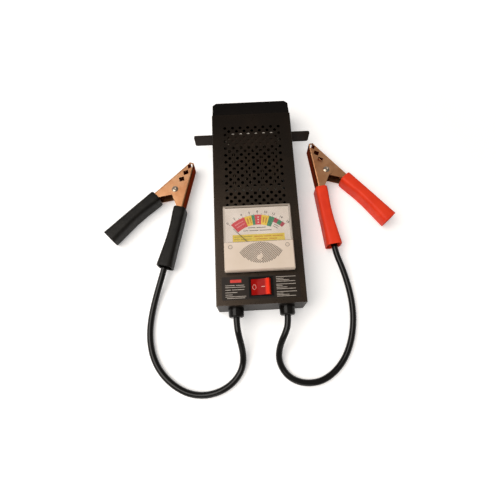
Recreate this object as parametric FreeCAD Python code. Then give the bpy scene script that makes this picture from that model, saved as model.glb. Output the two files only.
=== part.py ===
import FreeCAD, Part
import math
import os

from FreeCAD import Vector

# Battery load tester: a perforated steel case with an analog meter, a momentary rocker switch
# and two short cables that end in spring clamps. It lies on its back.
# Origin: middle of the case's back face. +X right, +Y to the vented end, +Z out of the front panel.
# All sizes are in millimetres.

# Case
CASE_WIDTH = 114.0
CASE_LENGTH = 306.0
CASE_DEPTH = 49.6
SHOULDER_LENGTH = 27.3
COVER_SHEET = 0.8
COVER_LIFT = 0.4
COVER_BEND = 1.5
SHELL_SHEET = 1.0
SHELL_GAP = 0.25
SHELL_FLANGE = 14.0
SHOULDER_DROP = 7.0
SHOULDER_TONGUE = 12.0
SHOULDER_CORNER = 5.0

# Case screws, three on each side
SCREW_FROM_BOTTOM = (28.0, 150.0, 226.0)
SCREW_HEIGHT = 7.0
SCREW_RADIUS = 1.6
SCREW_HOLE_GAP = 0.15
SCREW_HEAD_RADIUS = 3.3
SCREW_HEAD_HEIGHT = 1.7
SCREW_HEAD_ROUND = 0.85
SCREW_LENGTH = 6.0
SCREW_SLOT = 0.9

# Vent holes: rows of holes with shifted rows between them
VENT_RADIUS = 2.4
VENT_PITCH = 11.0
VENT_SPAN = 77.0
VENT_METER_GAP = 5.45
VENT_TOP_MARGIN = 22.3

# Clamp rest bar, element bracket and load element
BAR_SHEET = 2.0
BAR_LENGTH = 168.0
BAR_CORNER = 3.0
BAR_FROM_TOP = 30.3
BAR_WIDTH = 23.0
BAR_PANEL_GAP = 3.8
BAR_SLOT_GAP = 0.3
BAR_FOLD_LENGTH = 66.0
BAR_FOLD_WIDTH = 22.0
BAR_FOLD_GAP = 0.6
BAR_FOLD_BEND = 2.4
BRACKET_METER_GAP = 28.05
BRACKET_END = 2.0
LEG_SPACING = 70.0
LEG_WIDTH = 14.0
FOOT_LENGTH = 14.0
INSULATOR_END = 3.6
INSULATOR_BASE = 15.0
INSULATOR_DEPTH = 10.0
INSULATOR_FLOOR = 3.0
RIBBON_SHEET = 0.8
RIBBON_WIDTH = 18.0
RIBBON_PITCH = 8.0
RIBBON_PASSES = 10
RIBBON_GROOVE_GAP = 0.3
RIBBON_END_GAP = 1.0
RIBBON_TAB_GAP = 4.0

# Meter
METER_SIZE = 88.9
METER_LABEL_GAP = 4.7
METER_CORNER = 1.4
METER_WALL = 2.0
METER_FLANGE = 3.0
METER_RISE = 12.0
METER_BEVEL_HEIGHT = 2.5
METER_BEVEL_WIDTH = 1.25
METER_INSIDE_CORNER = 1.0
METER_FLANGE_INSET = 0.5
METER_SPLIT_DROP = 7.1
METER_SPLIT_GAP = 0.3
BARREL_RADIUS = 34.5
BARREL_DEPTH = 29.0
BARREL_HOLE_GAP = 0.3
DIAL_SHEET = 0.8
DIAL_SIDE_GAP = 0.5
DIAL_POST_RADIUS = 2.5
DIAL_POST_INSET = 6.5
DIAL_TUCK = 1.4
POINTER_LENGTH = 47.0
POINTER_SHEET = 0.4
POINTER_TAIL = 7.0
POINTER_HALF = 0.45
POINTER_TAIL_HALF = 1.1
POINTER_TILT = 43.0
POINTER_LIFT = 1.6
HUB_RADIUS = 2.2
HUB_HEIGHT = 1.4
HUB_LENS_GAP = 0.8
ADJUSTER_DROP = 28.5
ADJUSTER_RADIUS = 3.2
ADJUSTER_SHANK = 1.8
ADJUSTER_HEAD = 1.0
ADJUSTER_SLOT = 0.8
ADJUSTER_SLOT_DEPTH = 0.65
ADJUSTER_TAIL = 1.0
ADJUSTER_COLLAR = 0.5
ADJUSTER_COLLAR_RADIUS = 2.5
ADJUSTER_PIN = 0.5
ADJUSTER_PIN_LENGTH = 0.5
ADJUSTER_THROW = 1.0
RUNNING_GAP = 0.05
MASK_SCREW_SPACING = 72.6
MASK_SCREW_DROP = 13.2
MASK_SCREW_HEAD = 2.1
MASK_SCREW_RING = 0.6
MASK_SCREW_RADIUS = 1.3
MASK_SCREW_SINK = 1.0
MASK_SCREW_SLOT_DEPTH = 0.45
MASK_SCREW_END_GAP = 1.0
MASK_BOSS_RADIUS = 3.4
STUD_SPACING = 40.0
STUD_RADIUS = 3.0
STUD_LENGTH = 12.0
NUT_ACROSS = 10.0
NUT_HEIGHT = 4.5

# Meter movement
CORE_RADIUS = 5.8
CORE_HEIGHT = 12.0
CORE_DROP = 6.0
YOKE_AIR_GAP = 0.535
YOKE_WALL = 1.8
YOKE_SIDE_GAP = 0.6
YOKE_HEIGHT = 14.0
CORE_BAR = 3.0
CORE_BAR_INSET = 1.0
COIL_SIDE_GAP = 0.6
COIL_WIRE = 1.3
COIL_DEPTH = 4.8
COIL_CORE_GAP = 1.0
SPINDLE_RADIUS = 0.6
SPINDLE_END_GAP = 0.25
BEARING_DEPTH = 1.0
FRAME_POST_RADIUS = 1.6
FRAME_POST_GAP = 1.0
FRAME_BAR_WIDTH = 8.0
FRAME_BAR_SHEET = 1.5
BRIDGE_DROP = 2.6
COLLET_RADIUS = 1.1
COLLET_LIFT = 0.25
COLLET_LIP = 0.125
HAIRSPRING_SHEET = 0.25
HAIRSPRING_WIDTH = 1.0
HAIRSPRING_STEP = 0.5
HAIRSPRING_HALF_TURNS = 9
HAIRSPRING_GAP = 0.15

# Switch and its label
SWITCH_MIDDLE = 21.5
BEZEL_END_LIP = 1.6
BEZEL_SIDE_LIP = 1.55
BEZEL_HEIGHT = 2.2
BEZEL_EDGE = 0.6
BODY_END_WALL = 1.1
BODY_SIDE_WALL = 0.8
BODY_DEPTH = 21.6
BODY_FLOOR = 1.4
BODY_HOLE_GAP = 0.1
WELL_LENGTH = 25.6
WELL_WIDTH = 20.8
ROCKER_PIVOT_DROP = 0.6
ROCKER_END_GAP = 0.3
ROCKER_END_RISE = 5.2
ROCKER_MIDDLE_RISE = 3.0
ROCKER_KEEL = 6.0
ROCKER_SKIRT = 3.0
ROCKER_KEEL_HALF = 7.0
ROCKER_SIDE_GAP = 0.3
ROCKER_TILT = 12.0
TRUNNION_RADIUS = 1.5
TRUNNION_REACH = 0.5
TRUNNION_END_GAP = 0.15
PLUNGER_RADIUS = 1.9
PLUNGER_LEVER_GAP = 0.35
PLUNGER_TOP = 3.2
PLUNGER_BORE_TOP = 0.6
LEVER_LENGTH = 20.0
LEVER_WIDTH = 6.0
LEVER_SHEET = 0.8
LEVER_BEAD_RADIUS = 0.7
LEVER_DROP = 13.0
LEVER_TILT = 6.0
LEVER_GAP = 0.3
BLADE_WIDTH = 6.3
BLADE_SHEET = 0.8
BLADE_REACH = 10.0
CONTACT_OFFSET = 8.5
CONTACT_RADIUS = 1.6
LABEL_LENGTH = 98.4
LABEL_WIDTH = 29.7
LABEL_SHEET = 0.25
LABEL_CORNER = 1.5
LABEL_GAP = 0.15
SWITCH_SPRING_WIRE = 0.2
SWITCH_SPRING_RADIUS = 1.3
SWITCH_SPRING_TURNS = 4

# Cable glands
GLAND_SPACING = 66.0
GLAND_HEIGHT = 27.0
GLAND_RADIUS = 10.2
GLAND_END_RADIUS = 9.9
GLAND_LENGTH = 12.5
GLAND_ROUND = 3.0
GLAND_THREAD = 7.5
GLAND_THREAD_LENGTH = 7.0
GLAND_HOLE_GAP = 0.15
GLAND_NUT_ACROSS = 20.0
GLAND_NUT_HEIGHT = 4.0

# Cables and inside wiring
CABLE_RADIUS = 4.25
LEAD_RADIUS = 3.0
WIRE_RADIUS = 1.0
CABLE_BORE_GAP = 0.15
EXIT_RUN = 11.5
ENTRY_RUN = 12.0
SEAT_GAP = 0.3
FLOOR_GAP = 0.05
ARC_SHARE = 0.45

# Clamps: sizes of one half, with the rivet at the local origin and the tip towards local +Y
JAW_HEIGHT = 23.0
JAW_SHEET = 1.2
JAW_PLATE_GAP = 0.25
JAW_GAP = 0.4
JAW_TIP = 48.5
JAW_TIP_HALF = 4.8
JAW_TIP_CUT = 2.0
JAW_BEND = 2.6
HANDLE_LEAN = 16.6
HANDLE_WIDTH = 9.6
HANDLE_START = 18.7
HANDLE_LENGTH = 74.0
EAR_RADIUS = 9.0
TOOTH_TIP_LAND = 0.8
TOOTH_LAND = 1.6
TOOTH_HALF = 5.2
TOOTH_DEPTH = 4.8
TOOTH_EDGE = 1.8
RIVET_RADIUS = 3.2
RIVET_HEAD_RADIUS = 4.6
RIVET_HEAD_HEIGHT = 1.5
RIVET_DIMPLE_RADIUS = 2.3
RIVET_DIMPLE_DEPTH = 1.0
GRIP_MOUTH_WIDTH = 19.0
GRIP_END_WIDTH = 23.0
GRIP_LENGTH = 88.6
GRIP_CORNER = 9.0
GRIP_ROOM_CORNER = 2.5
GRIP_EDGE = 2.5
GRIP_WALL = 2.0
GRIP_FACE_WALL = 1.75
GRIP_ROOM_GAP = 0.25
GRIP_COLLAR = 20.0
GRIP_FIT = 0.15
TAIL_LENGTH = 50.0
SPRING_WIRE = 0.9
SPRING_RADIUS = 5.2
SPRING_PITCH = 2.7
SPRING_TURNS = 3
SPRING_LEG = 28.0
BLACK_CLAMP_PLACE = (-114.2, 176.2)
BLACK_CLAMP_TURN = -30.6
RED_CLAMP_PLACE = (106.4, 196.6)
RED_CLAMP_TURN = 23.0

# Worked-out places
BOTTOM = -CASE_LENGTH / 2
TOP = CASE_LENGTH / 2
HALF_WIDTH = CASE_WIDTH / 2
COVER_TOP = TOP - SHOULDER_LENGTH
PANEL = CASE_DEPTH
PANEL_BACK = CASE_DEPTH - COVER_SHEET
SHELL_HALF = HALF_WIDTH - COVER_SHEET - SHELL_GAP
SHELL_TOP = PANEL_BACK - SHELL_GAP
BAR_MIDDLE = CASE_LENGTH - SHOULDER_LENGTH - BAR_FROM_TOP
BAR_TOP = PANEL_BACK - BAR_PANEL_GAP
BAR_BOTTOM = BAR_TOP - BAR_WIDTH
BAR_FOLD_TOP = PANEL_BACK - BAR_FOLD_GAP
METER_MIDDLE = SWITCH_MIDDLE + LABEL_WIDTH / 2 + METER_LABEL_GAP + METER_SIZE / 2
METER_TOP = METER_MIDDLE + METER_SIZE / 2
METER_SPLIT = METER_MIDDLE - METER_SPLIT_DROP
ADJUSTER_PLACE = METER_MIDDLE - ADJUSTER_DROP
MASK_SCREW_PLACE = METER_MIDDLE - MASK_SCREW_DROP
METER_FRONT = PANEL + METER_RISE
METER_FLANGE_TOP = PANEL + METER_FLANGE
METER_INSIDE = METER_FRONT - METER_WALL
MASK_SEAT = METER_FRONT - MASK_SCREW_SINK
POINTER_BASE = METER_INSIDE - HUB_LENS_GAP - HUB_HEIGHT
DIAL_BASE = POINTER_BASE - POINTER_LIFT - DIAL_SHEET
BARREL_BACK = PANEL - BARREL_DEPTH
BARREL_FLOOR = BARREL_BACK + METER_WALL
BRIDGE_HEIGHT = METER_FLANGE_TOP - BRIDGE_DROP
CORE_BASE = BRIDGE_HEIGHT - CORE_DROP - CORE_HEIGHT
COIL_INSIDE = CORE_RADIUS + COIL_SIDE_GAP
YOKE_BORE = math.hypot(COIL_INSIDE + COIL_WIRE, COIL_DEPTH / 2) + YOKE_AIR_GAP
YOKE_RADIUS = YOKE_BORE + YOKE_WALL
FRAME_POST_PLACE = YOKE_RADIUS + FRAME_POST_GAP + FRAME_POST_RADIUS
POINTER_PIVOT = METER_MIDDLE - (BARREL_RADIUS - METER_WALL - YOKE_SIDE_GAP - YOKE_RADIUS)
BRACKET_MIDDLE = METER_TOP + BRACKET_METER_GAP
BODY_LENGTH = WELL_LENGTH + 2 * BODY_END_WALL
BODY_WIDTH = WELL_WIDTH + 2 * BODY_SIDE_WALL
BEZEL_LENGTH = BODY_LENGTH + 2 * BEZEL_END_LIP
BEZEL_WIDTH = BODY_WIDTH + 2 * BEZEL_SIDE_LIP
ROCKER_RADIUS = WELL_LENGTH / 2 - ROCKER_END_GAP
PIVOT_HEIGHT = PANEL - ROCKER_PIVOT_DROP
LEVER_HEIGHT = PIVOT_HEIGHT - LEVER_DROP
PLUNGER_TIP = LEVER_DROP - LEVER_BEAD_RADIUS - PLUNGER_LEVER_GAP
BODY_BASE = PANEL - BODY_DEPTH
CLAMP_THICKNESS = JAW_HEIGHT + 2 * (GRIP_ROOM_GAP + GRIP_FACE_WALL)
CLAMP_MIDDLE = CLAMP_THICKNESS / 2
MOVING_HEIGHT = JAW_HEIGHT - 2 * JAW_SHEET - 2 * JAW_PLATE_GAP
REACH = 1.0

os.makedirs("parts", exist_ok=True)


def up(distance):
    """Y of a place measured from the case's lower end."""
    return BOTTOM + distance


def block(x0, x1, y0, y1, z0, z1):
    return Part.makeBox(x1 - x0, y1 - y0, z1 - z0, Vector(x0, y0, z0))


def rod(radius, start, end):
    return Part.makeCylinder(radius, (end - start).Length, start, end - start)


def post(radius, x, y, z0, z1):
    return rod(radius, Vector(x, y, z0), Vector(x, y, z1))


def outline(points):
    """Closed polygon wire through (x, y) points."""
    corners = [Vector(x, y, 0) for x, y in points]
    return Part.makePolygon(corners + corners[:1])


def prism(wire, z0, z1):
    """Solid between two heights from a closed wire at height zero."""
    solid = Part.Face(wire).extrude(Vector(0, 0, z1 - z0))
    solid.translate(Vector(0, 0, z0))
    return solid


def rounded(x0, x1, y0, y1, radius):
    """Rectangle wire with round corners."""
    edges = []
    ends = []
    for quarter, (x, y) in enumerate([(x1, y1), (x0, y1), (x0, y0), (x1, y0)]):
        turn = 90 * quarter
        cx = x - math.copysign(radius, x - (x0 + x1) / 2)
        cy = y - math.copysign(radius, y - (y0 + y1) / 2)
        spots = []
        for angle in (turn, turn + 45, turn + 90):
            a = math.radians(angle)
            spots.append(Vector(cx + radius * math.cos(a), cy + radius * math.sin(a), 0))
        ends.append(spots)
    for here, after in zip(ends, ends[1:] + ends[:1]):
        edges.append(Part.Arc(*here).toShape())
        edges.append(Part.LineSegment(here[2], after[0]).toShape())
    return Part.Wire(edges)


def turned(profile, base, direction):
    """Solid of revolution from (along, radius) points, starting at base along direction."""
    points = [Vector(radius, 0, along) for along, radius in profile]
    wire = Part.makePolygon(points + points[:1])
    solid = Part.Face(wire).revolve(Vector(0, 0, 0), Vector(0, 0, 1), 360)
    turn = FreeCAD.Rotation(Vector(0, 0, 1), direction)
    solid.Placement = FreeCAD.Placement(base, turn)
    return solid


def hexagon(across, x, y, z0, z1):
    radius = across / math.sqrt(3)
    points = []
    for side in range(6):
        a = math.radians(60 * side)
        points.append((x + radius * math.cos(a), y + radius * math.sin(a)))
    return prism(outline(points), z0, z1)


def join(solids):
    return solids[0].fuse(solids[1:]).removeSplitter()


def lines_at(solid, test):
    """Straight edges whose two ends both pass the test."""
    found = []
    for edge in solid.Edges:
        if all(test(vertex.Point) for vertex in edge.Vertexes):
            found.append(edge)
    return found


def near(a, b):
    return abs(a - b) < 1e-6


def save(name, solids):
    shape = solids[0] if len(solids) == 1 else Part.makeCompound(solids)
    shape.exportStep("parts/%s.step" % name)


# Paths of tubes


def corner_arc(corner, before, after, reach):
    """Arc that leaves the line to before and joins the line to after, reach away from the corner."""
    back = (before - corner).normalize()
    ahead = (after - corner).normalize()
    half = (math.pi - back.getAngle(ahead)) / 2
    radius = reach / math.tan(half)
    inward = (back + ahead).normalize()
    middle = corner + inward * (radius / math.cos(half) - radius)
    return Part.Arc(corner + back * reach, middle, corner + ahead * reach).toShape(), radius


def tube_path(points):
    edges = []
    radii = []
    start = points[0]
    for before, corner, after in zip(points, points[1:], points[2:]):
        reach = ARC_SHARE * min((before - corner).Length, (after - corner).Length)
        arc, radius = corner_arc(corner, before, after, reach)
        edges.append(Part.LineSegment(start, arc.Vertexes[0].Point).toShape())
        edges.append(arc)
        radii.append(radius)
        start = arc.Vertexes[-1].Point
    edges.append(Part.LineSegment(start, points[-1]).toShape())
    return Part.Wire(edges), radii


def sweep(path, radius, start, direction):
    ring = Part.Wire(Part.Circle(start, direction, radius).toShape())
    return path.makePipeShell([ring], True, False)


def tube(name, places, radius):
    """Round tube along places, given as (x, distance from the lower end, z)."""
    points = [Vector(x, up(y), z) for x, y, z in places]
    path, radii = tube_path(points)
    solid = sweep(path, radius, points[0], points[1] - points[0])
    share = solid.Volume / (math.pi * radius * radius * path.Length)
    print("%s: length %.0f, volume over section x length %.4f" % (name, path.Length, share))
    print("  radii " + " ".join("%.0f" % r for r in radii))
    return solid


def biarc(start, start_way, end, end_way):
    """Two tangent arcs between two places with given directions."""
    chord = end - start
    ways = start_way + end_way
    flat = 2 * (1 - start_way.dot(end_way))
    along = chord.dot(ways)
    reach = (math.sqrt(along * along + flat * chord.dot(chord)) - along) / flat
    first = start + start_way * reach
    second = end - end_way * reach
    meet = (first + second) * 0.5
    return [corner_arc(first, start, meet, reach)[0], corner_arc(second, meet, end, reach)[0]]


def helix_edges(radius, pitch, from_angle, sweep_angle, z0):
    """Quarter-turn biarcs along a helix about Z, with level ends for the legs."""
    quarters = max(2, round(sweep_angle / 90))
    spots = []
    for step in range(quarters + 1):
        a = math.radians(from_angle + sweep_angle * step / quarters)
        rise = pitch * sweep_angle / 360 * step / quarters
        slope = 0 if step in (0, quarters) else pitch / (2 * math.pi)
        spot = Vector(radius * math.cos(a), radius * math.sin(a), z0 + rise)
        way = Vector(-radius * math.sin(a), radius * math.cos(a), slope).normalize()
        spots.append((spot, way))
    edges = []
    for (a, way_a), (b, way_b) in zip(spots, spots[1:]):
        edges += biarc(a, way_a, b, way_b)
    return edges, spots


def print_least_gap(name, path, coil_radius, wire):
    """Print the least gap between a coil's turns, measured on points at least half a turn apart."""
    spots = path.discretize(Distance=wire)
    skip = int(math.pi * coil_radius / wire)
    least = min(a.distanceToPoint(b) for i, a in enumerate(spots) for b in spots[i + skip:])
    print("%s: least gap between turns %.2f" % (name, least - 2 * wire))


# Case


def front_cover():
    shell = block(-HALF_WIDTH, HALF_WIDTH, BOTTOM, COVER_TOP, COVER_LIFT, PANEL)
    shell = shell.makeFillet(COVER_BEND, long_edges(shell, HALF_WIDTH, PANEL))
    inside = HALF_WIDTH - COVER_SHEET
    hollow = block(-inside, inside, BOTTOM - REACH, COVER_TOP + REACH, COVER_LIFT - REACH, PANEL_BACK)
    hollow = hollow.makeFillet(COVER_BEND - COVER_SHEET, long_edges(hollow, inside, PANEL_BACK))
    cuts = [hollow]
    for x, y in vent_places():
        cuts.append(post(VENT_RADIUS, x, y, PANEL_BACK - REACH, PANEL + REACH))
    hole = BARREL_RADIUS + BARREL_HOLE_GAP
    cuts.append(post(hole, 0, up(METER_MIDDLE), PANEL_BACK - REACH, PANEL + REACH))
    half_x = BODY_LENGTH / 2 + BODY_HOLE_GAP
    half_y = BODY_WIDTH / 2 + BODY_HOLE_GAP
    y = up(SWITCH_MIDDLE)
    cuts.append(block(-half_x, half_x, y - half_y, y + half_y, PANEL_BACK - REACH, PANEL + REACH))
    slot = BAR_SHEET / 2 + BAR_SLOT_GAP
    y = up(BAR_MIDDLE)
    cuts.append(block(-HALF_WIDTH - REACH, HALF_WIDTH + REACH, y - slot, y + slot,
                      BAR_BOTTOM - BAR_SLOT_GAP, BAR_TOP + BAR_SLOT_GAP))
    cuts += side_holes()
    return shell.cut(cuts)


def long_edges(solid, half, z):
    """The two edges along Y at plus and minus half and height z."""
    found = []
    for side in (-half, half):
        found += lines_at(solid, lambda p: near(p.x, side) and near(p.z, z))
    return found


def vent_places():
    places = []
    first = up(METER_TOP + VENT_METER_GAP)
    last_row = round(2 * (COVER_TOP - VENT_TOP_MARGIN - first) / VENT_PITCH)
    columns = round(VENT_SPAN / VENT_PITCH) + 1
    for row in range(last_row + 1):
        count = columns - row % 2
        y = first + row * VENT_PITCH / 2
        for column in range(count):
            places.append(((column - (count - 1) / 2) * VENT_PITCH, y))
    return places


def side_holes():
    """Screw holes through the cover's sides and the shell's flanges."""
    radius = SCREW_RADIUS + SCREW_HOLE_GAP
    holes = []
    for distance in SCREW_FROM_BOTTOM:
        for side in (-1, 1):
            start = Vector(side * (SHELL_HALF - SHELL_SHEET - REACH), up(distance), SCREW_HEIGHT)
            end = Vector(side * (HALF_WIDTH + REACH), up(distance), SCREW_HEIGHT)
            holes.append(rod(radius, start, end))
    return holes


def shell_body(inset):
    """The shell's outer solid, or its hollow when inset by the sheet."""
    diagonal = inset * (math.sqrt(2) - 1)
    x = SHELL_HALF - inset
    y0 = BOTTOM + inset
    y1 = TOP - inset
    cut = SHOULDER_CORNER - inset + diagonal
    plan = outline([(-x, y0), (x, y0), (x, y1 - cut), (x - cut, y1), (cut - x, y1), (-x, y1 - cut)])
    slope = math.atan2(SHOULDER_DROP, TOP - COVER_TOP)
    high = SHELL_TOP - inset
    corner = COVER_TOP - inset * math.tan(slope / 2)
    low = SHELL_TOP - SHOULDER_DROP - inset / math.cos(slope) + inset * math.tan(slope)
    side = outline([(y0, inset), (y1, inset), (y1, low), (corner, high), (y0, high)])
    profile = prism(side, -x, x)
    profile.rotate(Vector(0, 0, 0), Vector(1, 1, 1), 120)
    return prism(plan, inset, SHELL_TOP).common(profile)


def rear_shell():
    shell = shell_body(0).cut(shell_body(SHELL_SHEET))
    opening = block(-HALF_WIDTH, HALF_WIDTH, BOTTOM + SHELL_SHEET, COVER_TOP - SHOULDER_TONGUE,
                    SHELL_FLANGE, CASE_DEPTH)
    cuts = [opening] + side_holes()
    for side in (-1, 1):
        start = Vector(side * GLAND_SPACING / 2, BOTTOM - REACH, GLAND_HEIGHT)
        end = start + Vector(0, SHELL_SHEET + 2 * REACH, 0)
        cuts.append(rod(GLAND_THREAD + GLAND_HOLE_GAP, start, end))
    return shell.cut(cuts)


def case_screws():
    screws = []
    dome = SCREW_HEAD_ROUND
    profile = [(-SCREW_LENGTH, 0), (-SCREW_LENGTH, SCREW_RADIUS), (0, SCREW_RADIUS),
               (0, SCREW_HEAD_RADIUS), (SCREW_HEAD_HEIGHT - dome, SCREW_HEAD_RADIUS),
               (SCREW_HEAD_HEIGHT, SCREW_HEAD_RADIUS - dome), (SCREW_HEAD_HEIGHT, 0)]
    for distance in SCREW_FROM_BOTTOM:
        for side in (-1, 1):
            base = Vector(side * HALF_WIDTH, up(distance), SCREW_HEIGHT)
            screw = turned(profile, base, Vector(side, 0, 0))
            face = side * (HALF_WIDTH + SCREW_HEAD_HEIGHT)
            slot = block(min(face, face - side * dome), max(face, face - side * dome),
                         base.y - SCREW_HEAD_RADIUS, base.y + SCREW_HEAD_RADIUS,
                         base.z - SCREW_SLOT / 2, base.z + SCREW_SLOT / 2)
            screws.append(screw.cut(slot))
    return screws


def cross_plate(length, middle, corner, foot_side):
    """Upright plate across the case on two legs with bent feet on the shell's back."""
    y0 = up(middle) - BAR_SHEET / 2
    y1 = y0 + BAR_SHEET
    face = rounded(-length / 2, length / 2, BAR_BOTTOM, BAR_TOP, corner)
    upright = prism(face, -y1, -y0)
    upright.rotate(Vector(0, 0, 0), Vector(1, 0, 0), 90)
    pieces = [upright]
    foot = FOOT_LENGTH * foot_side
    for side in (-1, 1):
        x0 = side * LEG_SPACING / 2 - LEG_WIDTH / 2
        x1 = x0 + LEG_WIDTH
        pieces.append(block(x0, x1, y0, y1, SHELL_SHEET, BAR_BOTTOM + corner))
        pieces.append(block(x0, x1, min(y0, y0 + foot), max(y1, y1 + foot),
                            SHELL_SHEET, SHELL_SHEET + BAR_SHEET))
    return join(pieces)


def rest_bar():
    """The clamp rest bar: a cross plate whose top is folded forward behind the vents."""
    y0 = up(BAR_MIDDLE) - BAR_SHEET / 2
    y1 = y0 + BAR_SHEET
    half = BAR_FOLD_LENGTH / 2
    rise = block(-half, half, y0, y1, BAR_TOP - BAR_CORNER, BAR_FOLD_TOP)
    shelf = block(-half, half, y1 - BAR_FOLD_WIDTH, y1, BAR_FOLD_TOP - BAR_SHEET, BAR_FOLD_TOP)
    fold = join([rise, shelf])
    fold = fold.makeFillet(BAR_FOLD_BEND, lines_at(fold, lambda p: near(p.y, y1) and near(p.z, BAR_FOLD_TOP)))
    return join([cross_plate(BAR_LENGTH, BAR_MIDDLE, BAR_CORNER, 1), fold])


# Load element: a folded ribbon on edge, held in two grooved ceramic blocks

UPPER_BLOCK_FACE = BAR_MIDDLE - BAR_SHEET / 2
LOWER_BLOCK_FACE = BRACKET_MIDDLE + BAR_SHEET / 2
RIBBON_UPPER_TURN = UPPER_BLOCK_FACE - RIBBON_END_GAP - RIBBON_PITCH / 2 - RIBBON_SHEET / 2
RIBBON_LOWER_TURN = LOWER_BLOCK_FACE + RIBBON_END_GAP + RIBBON_PITCH / 2 + RIBBON_SHEET / 2
RIBBON_TAB_END = LOWER_BLOCK_FACE + INSULATOR_DEPTH + RIBBON_TAB_GAP
RIBBON_EDGE = (RIBBON_PASSES - 1) * RIBBON_PITCH / 2
RIBBON_LOW = INSULATOR_BASE + INSULATOR_FLOOR
INSULATOR_TOP = RIBBON_LOW + RIBBON_WIDTH
INSULATOR_HALF = RIBBON_EDGE + RIBBON_SHEET / 2 + INSULATOR_END


def folded_ribbon(extra):
    """The ribbon's passes and turns, thickened on each face by extra."""
    half = RIBBON_SHEET / 2 + extra
    z0 = RIBBON_LOW
    z1 = INSULATOR_TOP + REACH if extra else INSULATOR_TOP
    pieces = []
    for step in range(RIBBON_PASSES):
        x = step * RIBBON_PITCH - RIBBON_EDGE
        outer = step in (0, RIBBON_PASSES - 1)
        low = RIBBON_TAB_END if outer else RIBBON_LOWER_TURN
        pieces.append(block(x - half, x + half, up(low), up(RIBBON_UPPER_TURN), z0, z1))
        if step < RIBBON_PASSES - 1:
            upper = step % 2 == 0
            y = up(RIBBON_UPPER_TURN if upper else RIBBON_LOWER_TURN)
            middle = x + RIBBON_PITCH / 2
            radius = RIBBON_PITCH / 2
            ring = post(radius + half, middle, y, z0, z1).cut(post(radius - half, middle, y, z0, z1))
            span = radius + half
            y0 = y if upper else y - span
            pieces.append(ring.common(block(middle - span, middle + span, y0, y0 + span, z0, z1)))
    return join(pieces)


def insulator(face, way):
    """Ceramic block on a plate's face, grooved for the ribbon's turns."""
    y0 = up(min(face, face + way * INSULATOR_DEPTH))
    half = INSULATOR_HALF
    solid = block(-half, half, y0, y0 + INSULATOR_DEPTH, INSULATOR_BASE, INSULATOR_TOP)
    return solid.cut(folded_ribbon(RIBBON_GROOVE_GAP))


# Meter

BRIDGE_TOP = BRIDGE_HEIGHT + FRAME_BAR_SHEET
BEARING_FLOOR = BARREL_FLOOR + FRAME_BAR_SHEET - BEARING_DEPTH
HAIRSPRING_BASE = BRIDGE_TOP + COLLET_LIFT + COLLET_LIP
HAIRSPRING_START = COLLET_RADIUS + HAIRSPRING_GAP + HAIRSPRING_SHEET / 2


def meter_box(y0, y1, inset, corner, z0, z1):
    """Slice of the meter's square outline between two distances from the lower end."""
    half = METER_SIZE / 2 - inset
    middle = up(METER_MIDDLE)
    wire = rounded(-half, half, middle - half, middle + half, corner)
    solid = prism(wire, z0, z1)
    return solid.common(block(-METER_SIZE, METER_SIZE, up(y0), up(y1), z0, z1))


def meter_front(y0, y1):
    """Half of the meter's front: a shallow lid with a bevelled edge, open towards the split."""
    low = METER_FLANGE_TOP
    bevel = METER_FRONT - METER_BEVEL_HEIGHT
    middle = up(METER_MIDDLE)
    half = METER_SIZE / 2
    small = half - METER_BEVEL_WIDTH
    base = rounded(-half, half, middle - half, middle + half, METER_CORNER)
    face = rounded(-small, small, middle - small, middle + small, METER_CORNER)
    base.translate(Vector(0, 0, bevel))
    face.translate(Vector(0, 0, METER_FRONT))
    crown = Part.makeLoft([base, face], True, True)
    crown = crown.common(block(-METER_SIZE, METER_SIZE, up(y0), up(y1), low, METER_FRONT))
    skin = join([meter_box(y0, y1, 0, METER_CORNER, low, bevel), crown])
    hollow = meter_box(y0 - REACH, y1 + REACH, METER_WALL, METER_INSIDE_CORNER, low - REACH, METER_INSIDE)
    return skin.cut(hollow)


def meter_lens():
    return meter_front(METER_SPLIT + METER_SPLIT_GAP / 2, METER_MIDDLE + METER_SIZE)


def meter_mask():
    mask = meter_front(METER_MIDDLE - METER_SIZE, METER_SPLIT - METER_SPLIT_GAP / 2)
    y = up(ADJUSTER_PLACE)
    cuts = [post(ADJUSTER_SHANK + RUNNING_GAP, 0, y, METER_INSIDE - REACH, METER_FRONT + REACH)]
    y = up(MASK_SCREW_PLACE)
    for x in mask_screw_places():
        cuts.append(post(MASK_SCREW_RADIUS + SCREW_HOLE_GAP, x, y, METER_INSIDE - REACH, MASK_SEAT + REACH))
        cuts.append(post(MASK_SCREW_HEAD + MASK_SCREW_RING, x, y, MASK_SEAT, METER_FRONT + REACH))
    return mask.cut(cuts)


def mask_screw_places():
    return (-MASK_SCREW_SPACING / 2, MASK_SCREW_SPACING / 2)


def dial_post_places():
    half = METER_SIZE / 2 - DIAL_POST_INSET
    top = METER_MIDDLE + half
    return [(side * half, up(y)) for side in (-1, 1) for y in (METER_SPLIT + DIAL_POST_INSET, top)]


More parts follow.
